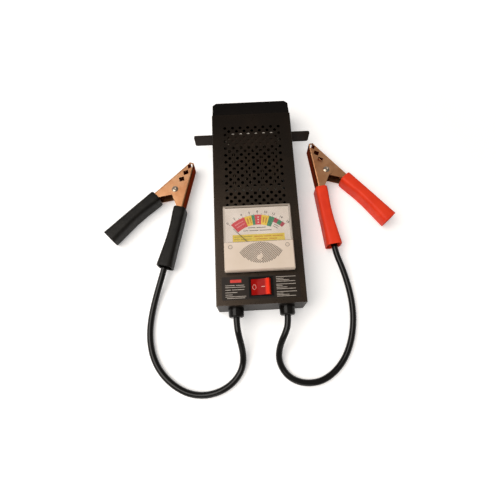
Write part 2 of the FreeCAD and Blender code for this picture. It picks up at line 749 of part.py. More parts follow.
def meter_case():
    """Square flange on the panel, a round barrel through it, dial posts and screw bosses."""
    middle = up(METER_MIDDLE)
    inside = BARREL_RADIUS - METER_WALL
    low = METER_MIDDLE - METER_SIZE
    high = METER_MIDDLE + METER_SIZE
    body = join([meter_box(low, high, METER_FLANGE_INSET, METER_CORNER, PANEL, METER_FLANGE_TOP),
                 post(BARREL_RADIUS, 0, middle, BARREL_BACK, PANEL)])
    body = body.cut(post(inside, 0, middle, BARREL_FLOOR, METER_FLANGE_TOP + REACH))
    solids = [post(DIAL_POST_RADIUS, x, y, PANEL + REACH, DIAL_BASE) for x, y in dial_post_places()]
    y = up(MASK_SCREW_PLACE)
    solids += [post(MASK_BOSS_RADIUS, x, y, PANEL + REACH, METER_INSIDE) for x in mask_screw_places()]
    body = join([body] + solids)
    cuts = []
    for x in mask_screw_places():
        cuts.append(post(MASK_SCREW_RADIUS + SCREW_HOLE_GAP, x, y, METER_FLANGE_TOP, METER_FRONT))
    for x in stud_places():
        cuts.append(post(STUD_RADIUS + SCREW_HOLE_GAP, x, middle, BARREL_BACK - REACH, BARREL_FLOOR + REACH))
    return body.cut(cuts)


def stud_places():
    return (-STUD_SPACING / 2, STUD_SPACING / 2)


def meter_studs():
    """Brass terminal studs, each with a head on the barrel's floor."""
    studs = []
    for x in stud_places():
        y = up(METER_MIDDLE)
        shank = post(STUD_RADIUS, x, y, BARREL_BACK - STUD_LENGTH, BARREL_FLOOR)
        head = hexagon(NUT_ACROSS, x, y, BARREL_FLOOR, BARREL_FLOOR + METER_WALL)
        studs.append(join([shank, head]))
    return studs


def stud_nuts():
    nuts = []
    for x in stud_places():
        y = up(METER_MIDDLE)
        nut = hexagon(NUT_ACROSS, x, y, BARREL_BACK - NUT_HEIGHT, BARREL_BACK)
        bore = post(STUD_RADIUS + RUNNING_GAP, x, y, BARREL_BACK - NUT_HEIGHT - REACH, BARREL_BACK)
        nuts.append(nut.cut(bore))
    return nuts


def meter_screws():
    screws = []
    for x in mask_screw_places():
        y = up(MASK_SCREW_PLACE)
        shank = post(MASK_SCREW_RADIUS, x, y, METER_FLANGE_TOP + MASK_SCREW_END_GAP, MASK_SEAT)
        head = post(MASK_SCREW_HEAD, x, y, MASK_SEAT, METER_FRONT)
        slot = block(x - MASK_SCREW_HEAD, x + MASK_SCREW_HEAD, y - SCREW_SLOT / 2, y + SCREW_SLOT / 2,
                     METER_FRONT - MASK_SCREW_SLOT_DEPTH, METER_FRONT + REACH)
        screws.append(join([shank, head]).cut(slot))
    return screws


def meter_dial():
    half = METER_SIZE / 2 - METER_WALL - DIAL_SIDE_GAP
    y1 = up(METER_MIDDLE + half)
    return block(-half, half, up(METER_SPLIT - DIAL_TUCK), y1, DIAL_BASE, DIAL_BASE + DIAL_SHEET)


def swing(solid, degrees):
    """Turn a solid about the pointer's pivot."""
    solid.rotate(Vector(0, up(POINTER_PIVOT), 0), Vector(0, 0, 1), degrees)
    return solid


def meter_pointer():
    y = up(POINTER_PIVOT)
    hub = post(HUB_RADIUS, 0, y, POINTER_BASE, POINTER_BASE + HUB_HEIGHT)
    tip = POINTER_SHEET / 2
    root = POINTER_HALF
    needle = outline([(-root, y), (-tip, y + POINTER_LENGTH), (tip, y + POINTER_LENGTH), (root, y)])
    end = POINTER_TAIL_HALF
    tail = outline([(-end, y), (end, y), (end, y - POINTER_TAIL), (-end, y - POINTER_TAIL)])
    z1 = POINTER_BASE + POINTER_SHEET
    return swing(join([hub, prism(needle, POINTER_BASE, z1), prism(tail, POINTER_BASE, z1)]), POINTER_TILT)


def zero_adjuster():
    """Slotted screw held in the mask by its head and a collar, with an off-centre pin below."""
    y = up(ADJUSTER_PLACE)
    collar = METER_INSIDE - RUNNING_GAP
    seat = METER_FRONT + RUNNING_GAP
    end = collar - ADJUSTER_TAIL
    shank = post(ADJUSTER_SHANK, 0, y, end, seat)
    head = post(ADJUSTER_RADIUS, 0, y, seat, seat + ADJUSTER_HEAD)
    flange = post(ADJUSTER_COLLAR_RADIUS, 0, y, collar - ADJUSTER_COLLAR, collar)
    pin = post(ADJUSTER_PIN, 0, y - ADJUSTER_THROW, end - ADJUSTER_PIN_LENGTH, end)
    slot = block(-ADJUSTER_RADIUS, ADJUSTER_RADIUS, y - ADJUSTER_SLOT / 2, y + ADJUSTER_SLOT / 2,
                 seat + ADJUSTER_HEAD - ADJUSTER_SLOT_DEPTH, seat + ADJUSTER_HEAD + REACH)
    return join([shank, head, flange, pin]).cut(slot)


def meter_magnet():
    """Round core magnet joined to its yoke ring by two side bars."""
    y = up(POINTER_PIVOT)
    top = CORE_BASE + CORE_HEIGHT
    base = CORE_BASE + CORE_HEIGHT / 2 - YOKE_HEIGHT / 2
    ring = post(YOKE_RADIUS, 0, y, base, base + YOKE_HEIGHT)
    ring = ring.cut(post(YOKE_BORE, 0, y, base - REACH, base + YOKE_HEIGHT + REACH))
    span = (YOKE_BORE + YOKE_RADIUS) / 2
    bar = block(-CORE_BAR / 2, CORE_BAR / 2, y - span, y + span,
                CORE_BASE + CORE_BAR_INSET, top - CORE_BAR_INSET)
    return join([ring, post(CORE_RADIUS, 0, y, CORE_BASE, top), bar])


def moving_coil():
    """Coil former round the core, with its spindle and the hairspring's collet."""
    y = up(POINTER_PIVOT)
    low = CORE_BASE - COIL_CORE_GAP
    high = CORE_BASE + CORE_HEIGHT + COIL_CORE_GAP
    outer = COIL_INSIDE + COIL_WIRE
    depth = COIL_DEPTH / 2
    coil = block(-outer, outer, y - depth, y + depth, low - COIL_WIRE, high + COIL_WIRE)
    coil = coil.cut(block(-COIL_INSIDE, COIL_INSIDE, y - COIL_DEPTH, y + COIL_DEPTH, low, high))
    lower = post(SPINDLE_RADIUS, 0, y, BEARING_FLOOR + SPINDLE_END_GAP, low - COIL_WIRE / 2)
    upper = post(SPINDLE_RADIUS, 0, y, high + COIL_WIRE / 2, POINTER_BASE)
    collet = post(COLLET_RADIUS, 0, y, HAIRSPRING_BASE - COLLET_LIP,
                  HAIRSPRING_BASE + HAIRSPRING_WIDTH + COLLET_LIP)
    return swing(join([coil, lower, upper, collet]), POINTER_TILT)


def hairspring_end():
    """X of the flat spiral's outer end, on the pivot's X line."""
    centre = HAIRSPRING_STEP if HAIRSPRING_HALF_TURNS % 2 == 0 else 0
    radius = HAIRSPRING_START + (HAIRSPRING_HALF_TURNS - 1) * HAIRSPRING_STEP
    way = 1 if HAIRSPRING_HALF_TURNS % 2 == 0 else -1
    return centre + way * radius


def hairspring():
    """Flat spiral strip of half circles, each a step larger than the last."""
    y = up(POINTER_PIVOT)
    half = HAIRSPRING_SHEET / 2
    pieces = []
    for step in range(HAIRSPRING_HALF_TURNS):
        radius = HAIRSPRING_START + step * HAIRSPRING_STEP
        centre = HAIRSPRING_STEP if step % 2 else 0
        z1 = HAIRSPRING_BASE + HAIRSPRING_WIDTH
        ring = post(radius + half, centre, y, HAIRSPRING_BASE, z1)
        ring = ring.cut(post(radius - half, centre, y, HAIRSPRING_BASE, z1))
        span = radius + half
        y0 = y - span if step % 2 else y
        pieces.append(ring.common(block(centre - span, centre + span, y0, y0 + span, HAIRSPRING_BASE, z1)))
    return join(pieces)


def meter_frame():
    """Base bar on the barrel's floor, two posts with shelves for the yoke, and the bearing bridge."""
    y = up(POINTER_PIVOT)
    half = FRAME_POST_PLACE + FRAME_POST_RADIUS
    depth = FRAME_BAR_WIDTH / 2
    shelf_top = CORE_BASE + CORE_HEIGHT / 2 - YOKE_HEIGHT / 2
    pieces = [block(-half, half, y - depth, y + depth, BARREL_FLOOR, BARREL_FLOOR + FRAME_BAR_SHEET),
              block(-half, half, y - depth, y + depth, BRIDGE_HEIGHT, BRIDGE_TOP)]
    for side in (-1, 1):
        x = side * FRAME_POST_PLACE
        pieces.append(post(FRAME_POST_RADIUS, x, y, BARREL_FLOOR, BRIDGE_TOP))
        inner = side * (YOKE_BORE + RUNNING_GAP)
        pieces.append(block(min(x, inner), max(x, inner), y - FRAME_POST_RADIUS, y + FRAME_POST_RADIUS,
                            shelf_top - FRAME_BAR_SHEET, shelf_top))
    anchor = hairspring_end() - HAIRSPRING_SHEET / 2 - HAIRSPRING_GAP - SPINDLE_RADIUS
    pieces.append(post(SPINDLE_RADIUS, anchor, y, BRIDGE_HEIGHT, HAIRSPRING_BASE + HAIRSPRING_WIDTH))
    bearing = SPINDLE_RADIUS + RUNNING_GAP
    frame = join(pieces)
    return frame.cut([post(bearing, 0, y, BRIDGE_HEIGHT - REACH, BRIDGE_TOP + REACH),
                      post(bearing, 0, y, BEARING_FLOOR, BEARING_FLOOR + BEARING_DEPTH + REACH)])


# Switch, built level and then tipped to its rest position


def tip(solid, degrees):
    solid.rotate(Vector(0, up(SWITCH_MIDDLE), PIVOT_HEIGHT), Vector(0, 1, 0), degrees)
    return solid


def switch_housing():
    y = up(SWITCH_MIDDLE)
    bezel = block(-BEZEL_LENGTH / 2, BEZEL_LENGTH / 2, y - BEZEL_WIDTH / 2, y + BEZEL_WIDTH / 2,
                  PANEL + LABEL_SHEET, PANEL + BEZEL_HEIGHT)
    bezel = bezel.makeChamfer(BEZEL_EDGE, lines_at(bezel, lambda p: near(p.z, PANEL + BEZEL_HEIGHT)))
    body = block(-BODY_LENGTH / 2, BODY_LENGTH / 2, y - BODY_WIDTH / 2, y + BODY_WIDTH / 2,
                 BODY_BASE, PANEL + BEZEL_HEIGHT / 2)
    well = block(-WELL_LENGTH / 2, WELL_LENGTH / 2, y - WELL_WIDTH / 2, y + WELL_WIDTH / 2,
                 BODY_BASE + BODY_FLOOR, PANEL + BEZEL_HEIGHT + REACH)
    reach = WELL_WIDTH / 2 + TRUNNION_REACH + TRUNNION_END_GAP
    hole = rod(TRUNNION_RADIUS + RUNNING_GAP, Vector(0, y - reach, PIVOT_HEIGHT),
               Vector(0, y + reach, PIVOT_HEIGHT))
    cuts = [well, hole]
    for x in (0, -CONTACT_OFFSET):
        cuts.append(blade(x, RUNNING_GAP, BODY_BASE - REACH, BODY_BASE + BODY_FLOOR + REACH))
    return join([bezel, body]).cut(cuts)


def blade(x, extra, z0, z1):
    y = up(SWITCH_MIDDLE)
    half = BLADE_SHEET / 2 + extra
    wide = BLADE_WIDTH / 2 + extra
    return block(x - half, x + half, y - wide, y + wide, z0, z1)


def switch_terminals():
    """Middle blade that carries the lever, and the blade with the fixed contact."""
    y = up(SWITCH_MIDDLE)
    low = BODY_BASE - BLADE_REACH
    lever_under = LEVER_HEIGHT - LEVER_SHEET / 2
    closed = lever_under - CONTACT_OFFSET * math.tan(math.radians(LEVER_TILT))
    top = closed - LEVER_GAP
    contact = join([blade(-CONTACT_OFFSET, 0, low, top - REACH),
                    post(CONTACT_RADIUS, -CONTACT_OFFSET, y, top - REACH, top)])
    return [blade(0, 0, low, LEVER_HEIGHT - LEVER_BEAD_RADIUS - LEVER_GAP), contact]


def switch_rocker():
    """Two-faced key with round ends about its pins, and a bore for the plunger."""
    y = up(SWITCH_MIDDLE)
    half = WELL_WIDTH / 2 - ROCKER_SIDE_GAP
    end_x = math.sqrt(ROCKER_RADIUS ** 2 - ROCKER_END_RISE ** 2)
    low_x = math.sqrt(ROCKER_RADIUS ** 2 - ROCKER_SKIRT ** 2)

    def at(x, z):
        return Vector(x, y - half, PIVOT_HEIGHT + z)

    dish = Part.Arc(at(-end_x, ROCKER_END_RISE), at(0, ROCKER_MIDDLE_RISE), at(end_x, ROCKER_END_RISE))
    edges = [dish.toShape()]
    for a, b in (((low_x, -ROCKER_SKIRT), (ROCKER_KEEL_HALF, -ROCKER_KEEL)),
                 ((ROCKER_KEEL_HALF, -ROCKER_KEEL), (-ROCKER_KEEL_HALF, -ROCKER_KEEL)),
                 ((-ROCKER_KEEL_HALF, -ROCKER_KEEL), (-low_x, -ROCKER_SKIRT))):
        edges.append(Part.LineSegment(at(*a), at(*b)).toShape())
    for side in (-1, 1):
        arc = Part.Arc(at(side * end_x, ROCKER_END_RISE), at(side * ROCKER_RADIUS, 0),
                       at(side * low_x, -ROCKER_SKIRT))
        edges.append(arc.toShape())
    wire = Part.Wire(Part.__sortEdges__(edges))
    key = Part.Face(wire).extrude(Vector(0, 2 * half, 0))
    reach = WELL_WIDTH / 2 + TRUNNION_REACH
    pins = rod(TRUNNION_RADIUS, Vector(0, y - reach, PIVOT_HEIGHT), Vector(0, y + reach, PIVOT_HEIGHT))
    bore = post(PLUNGER_RADIUS + RUNNING_GAP, 0, y, PIVOT_HEIGHT - ROCKER_KEEL - REACH,
                PIVOT_HEIGHT + PLUNGER_BORE_TOP)
    return tip(join([key, pins]).cut(bore), -ROCKER_TILT)


def switch_plunger():
    y = up(SWITCH_MIDDLE)
    z0 = PIVOT_HEIGHT - PLUNGER_TIP + PLUNGER_RADIUS
    ball = Part.makeSphere(PLUNGER_RADIUS, Vector(0, y, z0))
    return tip(join([ball, post(PLUNGER_RADIUS, 0, y, z0, PIVOT_HEIGHT - PLUNGER_TOP)]), -ROCKER_TILT)


def switch_spring():
    """Small coil between the plunger's top and the end of its bore."""
    z0 = -PLUNGER_TOP + SWITCH_SPRING_WIRE + RUNNING_GAP
    z1 = PLUNGER_BORE_TOP - SWITCH_SPRING_WIRE - RUNNING_GAP
    pitch = (z1 - z0) / SWITCH_SPRING_TURNS
    edges, spots = helix_edges(SWITCH_SPRING_RADIUS, pitch, 0, 360 * SWITCH_SPRING_TURNS, z0)
    path = Part.Wire(edges)
    print_least_gap("switch spring", path, SWITCH_SPRING_RADIUS, SWITCH_SPRING_WIRE)
    coil = sweep(path, SWITCH_SPRING_WIRE, *spots[0])
    coil.translate(Vector(0, up(SWITCH_MIDDLE), PIVOT_HEIGHT))
    return tip(coil, -ROCKER_TILT)


def switch_lever():
    """Flat contact arm with a pressed bead across its middle, on which it tips."""
    y = up(SWITCH_MIDDLE)
    y0 = y - LEVER_WIDTH / 2
    y1 = y + LEVER_WIDTH / 2
    arm = block(-LEVER_LENGTH / 2, LEVER_LENGTH / 2, y0, y1,
                LEVER_HEIGHT - LEVER_SHEET / 2, LEVER_HEIGHT + LEVER_SHEET / 2)
    bead = rod(LEVER_BEAD_RADIUS, Vector(0, y0, LEVER_HEIGHT), Vector(0, y1, LEVER_HEIGHT))
    lever = join([arm, bead])
    lever.rotate(Vector(0, y, LEVER_HEIGHT), Vector(0, 1, 0), LEVER_TILT)
    return lever


def label_plate():
    y = up(SWITCH_MIDDLE)
    film = prism(rounded(-LABEL_LENGTH / 2, LABEL_LENGTH / 2, y - LABEL_WIDTH / 2, y + LABEL_WIDTH / 2,
                         LABEL_CORNER), PANEL, PANEL + LABEL_SHEET)
    half_x = BODY_LENGTH / 2 + LABEL_GAP
    half_y = BODY_WIDTH / 2 + LABEL_GAP
    return film.cut(block(-half_x, half_x, y - half_y, y + half_y, PANEL - REACH, PANEL + REACH))


# Glands and cables


def gland(side):
    """Dome outside the end wall, threaded stub through it, and a bore for the cable."""
    bore = CABLE_RADIUS + CABLE_BORE_GAP
    inner = GLAND_THREAD_LENGTH
    profile = [(-inner, bore), (-inner, GLAND_THREAD), (0, GLAND_THREAD), (0, GLAND_RADIUS),
               (GLAND_LENGTH, GLAND_END_RADIUS), (GLAND_LENGTH, bore)]
    dome = turned(profile, Vector(side * GLAND_SPACING / 2, BOTTOM, GLAND_HEIGHT), Vector(0, -1, 0))
    rims = [edge for edge in dome.Edges if is_circle(edge, GLAND_END_RADIUS)]
    return dome.makeFillet(GLAND_ROUND, rims)


def is_circle(edge, radius):
    return isinstance(edge.Curve, Part.Circle) and near(edge.Curve.Radius, radius)


def gland_cable(side):
    """The stretch of cable inside a gland, flush with both of its ends."""
    x = side * GLAND_SPACING / 2
    return rod(CABLE_RADIUS, Vector(x, BOTTOM - GLAND_LENGTH, GLAND_HEIGHT),
               Vector(x, BOTTOM + GLAND_THREAD_LENGTH, GLAND_HEIGHT))


def gland_nut(side):
    nut = hexagon(GLAND_NUT_ACROSS, 0, 0, 0, GLAND_NUT_HEIGHT)
    nut = nut.cut(post(GLAND_THREAD + RUNNING_GAP, 0, 0, -REACH, GLAND_NUT_HEIGHT + REACH))
    turn = FreeCAD.Rotation(Vector(1, 0, 0), -90)
    base = Vector(side * GLAND_SPACING / 2, BOTTOM + SHELL_SHEET, GLAND_HEIGHT)
    nut.Placement = FreeCAD.Placement(base, turn)
    return nut


GLAND_X = GLAND_SPACING / 2
FLOOR = CABLE_RADIUS + FLOOR_GAP
EXIT = -GLAND_LENGTH - EXIT_RUN
ENTRY = GLAND_THREAD_LENGTH
LEAD_END_X = RIBBON_EDGE + RIBBON_SHEET / 2 + LEAD_RADIUS + SEAT_GAP
BLADE_FACE = CONTACT_OFFSET + BLADE_SHEET / 2 + SEAT_GAP
BLADE_SIDE = SWITCH_MIDDLE + BLADE_WIDTH / 2 + SEAT_GAP

# Routes, as (x, distance from the case's lower end, z)
BLACK_CABLE = [
    (-GLAND_X, -GLAND_LENGTH, GLAND_HEIGHT), (-GLAND_X, EXIT, GLAND_HEIGHT), (-32.2, -36.0, 23.8),
    (-30.4, -47.5, 17.2), (-29.0, -59.0, 10.4), (-29.8, -70.5, 5.9), (-34.4, -82.5, FLOOR),
    (-43.8, -93.4, FLOOR), (-58.5, -101.8, FLOOR), (-77.5, -105.4, FLOOR), (-98.0, -102.4, FLOOR),
    (-117.5, -91.4, FLOOR), (-133.6, -75.4, FLOOR), (-144.2, -56.0, FLOOR), (-149.2, -34.0, FLOOR),
    (-149.2, -12.0, FLOOR), (-146.0, 8.0, 5.0), (-141.6, 24.4, 7.6), (-136.8, 39.0, 11.4),
]
RED_CABLE = [
    (GLAND_X, -GLAND_LENGTH, GLAND_HEIGHT), (GLAND_X, EXIT, GLAND_HEIGHT), (30.6, -34.4, 24.8),
    (26.0, -44.0, 19.4), (21.9, -54.0, 13.0), (20.2, -64.8, 7.8), (22.0, -75.6, 4.9),
    (28.8, -86.2, FLOOR), (40.2, -93.8, FLOOR), (55.6, -97.2, FLOOR), (73.6, -94.8, FLOOR),
    (91.0, -84.4, FLOOR), (105.4, -68.6, FLOOR), (115.6, -48.6, FLOOR), (121.8, -26.0, FLOOR),
    (124.0, -3.0, FLOOR), (122.6, 18.6, 4.8), (118.8, 38.0, 7.4), (113.8, 54.6, 11.2),
]
BLACK_LEAD = [
    (-GLAND_X, ENTRY, GLAND_HEIGHT), (-GLAND_X, 12.6, GLAND_HEIGHT), (-30.4, 18.6, 25.8),
    (-24.4, 21.8, 24.0), (-16.4, SWITCH_MIDDLE, 23.0), (-BLADE_FACE, SWITCH_MIDDLE, 23.0),
]
RED_LEAD = [
    (GLAND_X, ENTRY, GLAND_HEIGHT), (GLAND_X, 21.0, GLAND_HEIGHT), (36.6, 36.0, 24.4), (43.0, 54.0, 19.4),
    (47.6, 76.0, 15.8), (48.8, 104.0, 15.2), (48.4, 133.0, 17.4), (46.8, 160.0, 21.8),
    (41.8, 182.0, 25.0), (LEAD_END_X, 190.0, 25.6), (LEAD_END_X, 197.0, 25.6),
]
LOAD_LEAD = [
    (0, BLADE_SIDE, 22.0), (0, 35.0, 22.0), (-5.0, 47.0, 17.6), (-15.0, 58.0, 12.8),
    (-27.0, 70.0, 10.6), (-38.4, 85.0, 11.0), (-46.2, 106.0, 13.0), (-48.8, 132.0, 17.0),
    (-46.8, 160.0, 21.8), (-41.8, 182.0, 25.0), (-LEAD_END_X, 190.0, 25.6), (-LEAD_END_X, 197.0, 25.6),
]
NUT_SIDE = STUD_SPACING / 2 + NUT_ACROSS / math.sqrt(3)
NUT_UNDERSIDE = METER_MIDDLE - NUT_ACROSS / 2
PLUS_WIRE = [
    (NUT_SIDE + SEAT_GAP, METER_MIDDLE, 17.8), (32.0, 86.2, 14.4), (38.6, 87.0, 12.8), (44.4, 88.4, 13.2),
]
MINUS_WIRE = [
    (-19.4, NUT_UNDERSIDE - SEAT_GAP, 18.2), (-19.0, 70.0, 18.6), (-18.4, 58.0, 18.4),
    (-17.6, 45.0, 17.6), (-17.0, 33.0, 17.4), (-16.8, 24.0, 18.6),
]


# Clamps: each piece is built about the rivet with the fixed half on the +X side, then placed

LEAN = math.radians(HANDLE_LEAN)
HANDLE_WAY = Vector(math.sin(LEAN), -math.cos(LEAN), 0)
HANDLE_OUT = Vector(math.cos(LEAN), math.sin(LEAN), 0)
TIP_CORNER = Vector(JAW_TIP_HALF, JAW_TIP - JAW_TIP_CUT, 0)
TAIL_INSET = HANDLE_WIDTH / 2 - JAW_SHEET - CABLE_RADIUS - SEAT_GAP


def on_outer_edge(y):
    """Place on the jaw's straight outer edge at local height y."""
    return TIP_CORNER + HANDLE_WAY * ((TIP_CORNER.y - y) / math.cos(LEAN))


GRIP_START = on_outer_edge(-HANDLE_START) - HANDLE_OUT * (HANDLE_WIDTH / 2)


def jaw_outline():
    """Half of the clamp seen from above: toothed edge, ear round the rivet, handle, outer edge."""
    gap = JAW_GAP / 2
    points = [Vector(gap, JAW_TIP, 0)]
    pitch = 2 * TOOTH_HALF + TOOTH_LAND
    first = JAW_TIP - TOOTH_TIP_LAND - TOOTH_HALF
    notches = int((first - TOOTH_HALF - EAR_RADIUS) / pitch) + 1
    for notch in range(notches):
        y = first - notch * pitch
        deepest = min(gap + TOOTH_DEPTH, on_outer_edge(y).x - TOOTH_EDGE)
        points += [Vector(gap, y + TOOTH_HALF, 0), Vector(deepest, y, 0), Vector(gap, y - TOOTH_HALF, 0)]
    ear_top = Vector(gap, math.sqrt(EAR_RADIUS ** 2 - gap ** 2), 0)
    ear_low = Vector(gap, -ear_top.y, 0)
    points.append(ear_top)
    end = GRIP_START + HANDLE_WAY * HANDLE_LENGTH
    inward = HANDLE_OUT * (HANDLE_WIDTH / 2)
    rest = [ear_low, GRIP_START - inward, end - inward, end + inward, TIP_CORNER,
            Vector(JAW_TIP_HALF - JAW_TIP_CUT, JAW_TIP, 0), points[0]]
    edges = [Part.LineSegment(a, b).toShape() for a, b in zip(points, points[1:])]
    edges.append(Part.Arc(ear_top, Vector(-EAR_RADIUS, 0, 0), ear_low).toShape())
    edges += [Part.LineSegment(a, b).toShape() for a, b in zip(rest, rest[1:])]
    return Part.Wire(edges)


def on_spine(offset, height):
    """Test for places on the outer edge, moved in by offset, at plus or minus height."""
    line = TIP_CORNER.dot(HANDLE_OUT) - offset
    return lambda p: near(Vector(p.x, p.y, 0).dot(HANDLE_OUT), line) and near(abs(p.z), height)


def jaw(height):
    """Folded channel: two toothed side plates joined by a spine along the outer edge."""
    half = height / 2
    body = prism(jaw_outline(), -half, half)
    body = body.makeFillet(JAW_BEND, lines_at(body, on_spine(0, half)))
    line = TIP_CORNER - HANDLE_OUT * JAW_SHEET
    far = 2 * (JAW_TIP + HANDLE_START + HANDLE_LENGTH)
    top = line - HANDLE_WAY * far
    low = line + HANDLE_WAY * far
    aside = HANDLE_OUT * far
    inner = half - JAW_SHEET
    hollow = prism(outline([(p.x, p.y) for p in (top, low, low - aside, top - aside)]), -inner, inner)
    hollow = hollow.makeFillet(JAW_BEND - JAW_SHEET, lines_at(hollow, on_spine(JAW_SHEET, inner)))
    return body.cut([hollow, post(RIVET_RADIUS + RUNNING_GAP, 0, 0, -height, height)])


def rivet():
    """Shank through both halves with a domed and dimpled head on each face."""
    half = JAW_HEIGHT / 2
    top = half + RIVET_HEAD_HEIGHT
    crown = (RIVET_HEAD_RADIUS ** 2 + RIVET_HEAD_HEIGHT ** 2) / (2 * RIVET_HEAD_HEIGHT)
    ball = Part.makeSphere(crown, Vector(0, 0, top - crown))
    head = ball.common(post(RIVET_HEAD_RADIUS + REACH, 0, 0, half, top + REACH))
    hollow = (RIVET_DIMPLE_RADIUS ** 2 + RIVET_DIMPLE_DEPTH ** 2) / (2 * RIVET_DIMPLE_DEPTH)
    head = head.cut(Part.makeSphere(hollow, Vector(0, 0, top - RIVET_DIMPLE_DEPTH + hollow)))
    foot = head.mirror(Vector(0, 0, 0), Vector(0, 0, 1))
    return join([post(RIVET_RADIUS, 0, 0, -half, half), head, foot])


def along_handle(solid):
    """Place a piece built along +X so that it follows the handle from the grip's mouth."""
    turn = FreeCAD.Rotation(Vector(0, 0, 1), HANDLE_LEAN - 90)
    solid.Placement = FreeCAD.Placement(GRIP_START, turn).multiply(solid.Placement)
    return solid


def grip_section(x, width, height, corner):
    """Rounded outline of the sleeve, across the handle at x."""
    wire = rounded(-width / 2, width / 2, -height / 2, height / 2, corner)
    wire.rotate(Vector(0, 0, 0), Vector(1, 1, 1), 120)
    wire.translate(Vector(x, 0, 0))
    return wire


def grip(height):
    """Moulded sleeve: a collar that hugs the channel, then an open cavity to the sleeve's end."""
    cut = GRIP_EDGE
    tall = CLAMP_THICKNESS
    slim = (GRIP_END_WIDTH - GRIP_MOUTH_WIDTH) * GRIP_EDGE / GRIP_LENGTH
    end_corner = GRIP_CORNER - cut / 2
    sections = [grip_section(0, GRIP_MOUTH_WIDTH - cut, tall - cut, end_corner),
                grip_section(GRIP_EDGE, GRIP_MOUTH_WIDTH + slim, tall, GRIP_CORNER),
                grip_section(GRIP_LENGTH - GRIP_EDGE, GRIP_END_WIDTH - slim, tall, GRIP_CORNER),
                grip_section(GRIP_LENGTH, GRIP_END_WIDTH - cut, tall - cut, end_corner)]
    body = Part.makeLoft(sections, True, True)
    half = HANDLE_WIDTH / 2 + GRIP_FIT
    high = height / 2 + GRIP_FIT
    collar = block(-REACH, GRIP_COLLAR + REACH, -half, half, -high, high)
    low = JAW_HEIGHT + 2 * GRIP_ROOM_GAP
    mouth = GRIP_MOUTH_WIDTH + slim - 2 * GRIP_WALL
    room = [grip_section(GRIP_COLLAR, mouth, low, GRIP_ROOM_CORNER),
            grip_section(GRIP_LENGTH + REACH, GRIP_END_WIDTH - slim - 2 * GRIP_WALL, low, GRIP_ROOM_CORNER)]
    return along_handle(body.cut([collar, Part.makeLoft(room, True, True)]))


def cable_tail():
    """The cable's end inside the fixed grip, lying along the channel's spine."""
    start = Vector(GRIP_LENGTH - TAIL_LENGTH, TAIL_INSET, 0)
    return along_handle(rod(CABLE_RADIUS, start, Vector(GRIP_LENGTH, TAIL_INSET, 0)))


def jaw_spring():
    """Torsion spring round the rivet, with a leg against each handle's spine."""
    room = TIP_CORNER.dot(HANDLE_OUT) - JAW_SHEET - SEAT_GAP - SPRING_WIRE - SPRING_RADIUS
    angle = HANDLE_LEAN + math.degrees(math.asin(room / SPRING_LEG))
    sweep_angle = 180 - 2 * angle + 360 * SPRING_TURNS
    rise = SPRING_PITCH * sweep_angle / 360
    edges, spots = helix_edges(SPRING_RADIUS, SPRING_PITCH, angle, sweep_angle, -rise / 2)
    (start, way), (end, end_way) = spots[0], spots[-1]
    foot = start - way * SPRING_LEG
    first_leg = Part.LineSegment(foot, start).toShape()
    second_leg = Part.LineSegment(end, end + end_way * SPRING_LEG).toShape()
    path = Part.Wire([first_leg] + edges + [second_leg])
    print_least_gap("jaw spring", path, SPRING_RADIUS, SPRING_WIRE)
    return sweep(path, SPRING_WIRE, foot, way)


def mirrored(solid):
    return solid.mirror(Vector(0, 0, 0), Vector(1, 0, 0))


def clamp_pieces(fixed_side):
    """All pieces of a clamp by name; fixed_side says on which side of local Y the cable's half lies."""
    pieces = {
        "jaw_fixed": jaw(JAW_HEIGHT),
        "grip_fixed": grip(JAW_HEIGHT),
        "jaw_moving": mirrored(jaw(MOVING_HEIGHT)),
        "grip_moving": mirrored(grip(MOVING_HEIGHT)),
        "rivet": rivet(),
        "jaw_spring": jaw_spring(),
        "cable_tail": cable_tail(),
    }
    if fixed_side < 0:
        pieces = {name: mirrored(solid) for name, solid in pieces.items()}
    return pieces


def save_clamp(colour, place, turn, fixed_side):
    for name, solid in clamp_pieces(fixed_side).items():
        solid.rotate(Vector(0, 0, 0), Vector(0, 0, 1), turn)
        solid.translate(Vector(place[0], up(place[1]), CLAMP_MIDDLE))
        save("%s_%s" % (colour, name), [solid])


def clamp_entry(place, turn, fixed_side):
    """The cable's last run, straight into the grip's end, as (x, distance from the lower end, z)."""
    places = []
    for beyond in (ENTRY_RUN, 0):
        local = GRIP_START + HANDLE_WAY * (GRIP_LENGTH + beyond) + HANDLE_OUT * TAIL_INSET
        a = math.radians(turn)
        x = fixed_side * local.x
        places.append((place[0] + x * math.cos(a) - local.y * math.sin(a),
                       place[1] + x * math.sin(a) + local.y * math.cos(a), CLAMP_MIDDLE))
    return places


save("front_cover", [front_cover()])
save("rear_shell", [rear_shell()])
save("case_screws", case_screws())
save("clamp_rest_bar", [rest_bar()])
save("element_bracket", [cross_plate(2 * (INSULATOR_HALF + BRACKET_END), BRACKET_MIDDLE, BAR_CORNER, -1)])
save("upper_insulator", [insulator(UPPER_BLOCK_FACE, -1)])
save("lower_insulator", [insulator(LOWER_BLOCK_FACE, 1)])
save("load_ribbon", [folded_ribbon(0)])

save("meter_case", [meter_case()])
save("meter_lens", [meter_lens()])
save("meter_mask", [meter_mask()])
save("meter_screws", meter_screws())
save("meter_dial", [meter_dial()])
save("meter_pointer", [meter_pointer()])
save("zero_adjuster", [zero_adjuster()])
save("meter_magnet", [meter_magnet()])
save("meter_frame", [meter_frame()])
save("moving_coil", [moving_coil()])
save("hairspring", [hairspring()])
save("meter_studs", meter_studs())
save("stud_nuts", stud_nuts())

save("label_plate", [label_plate()])
save("switch_housing", [switch_housing()])
save("switch_rocker", [switch_rocker()])
save("switch_plunger", [switch_plunger()])
save("switch_spring", [switch_spring()])
save("switch_lever", [switch_lever()])
save("switch_terminals", switch_terminals())

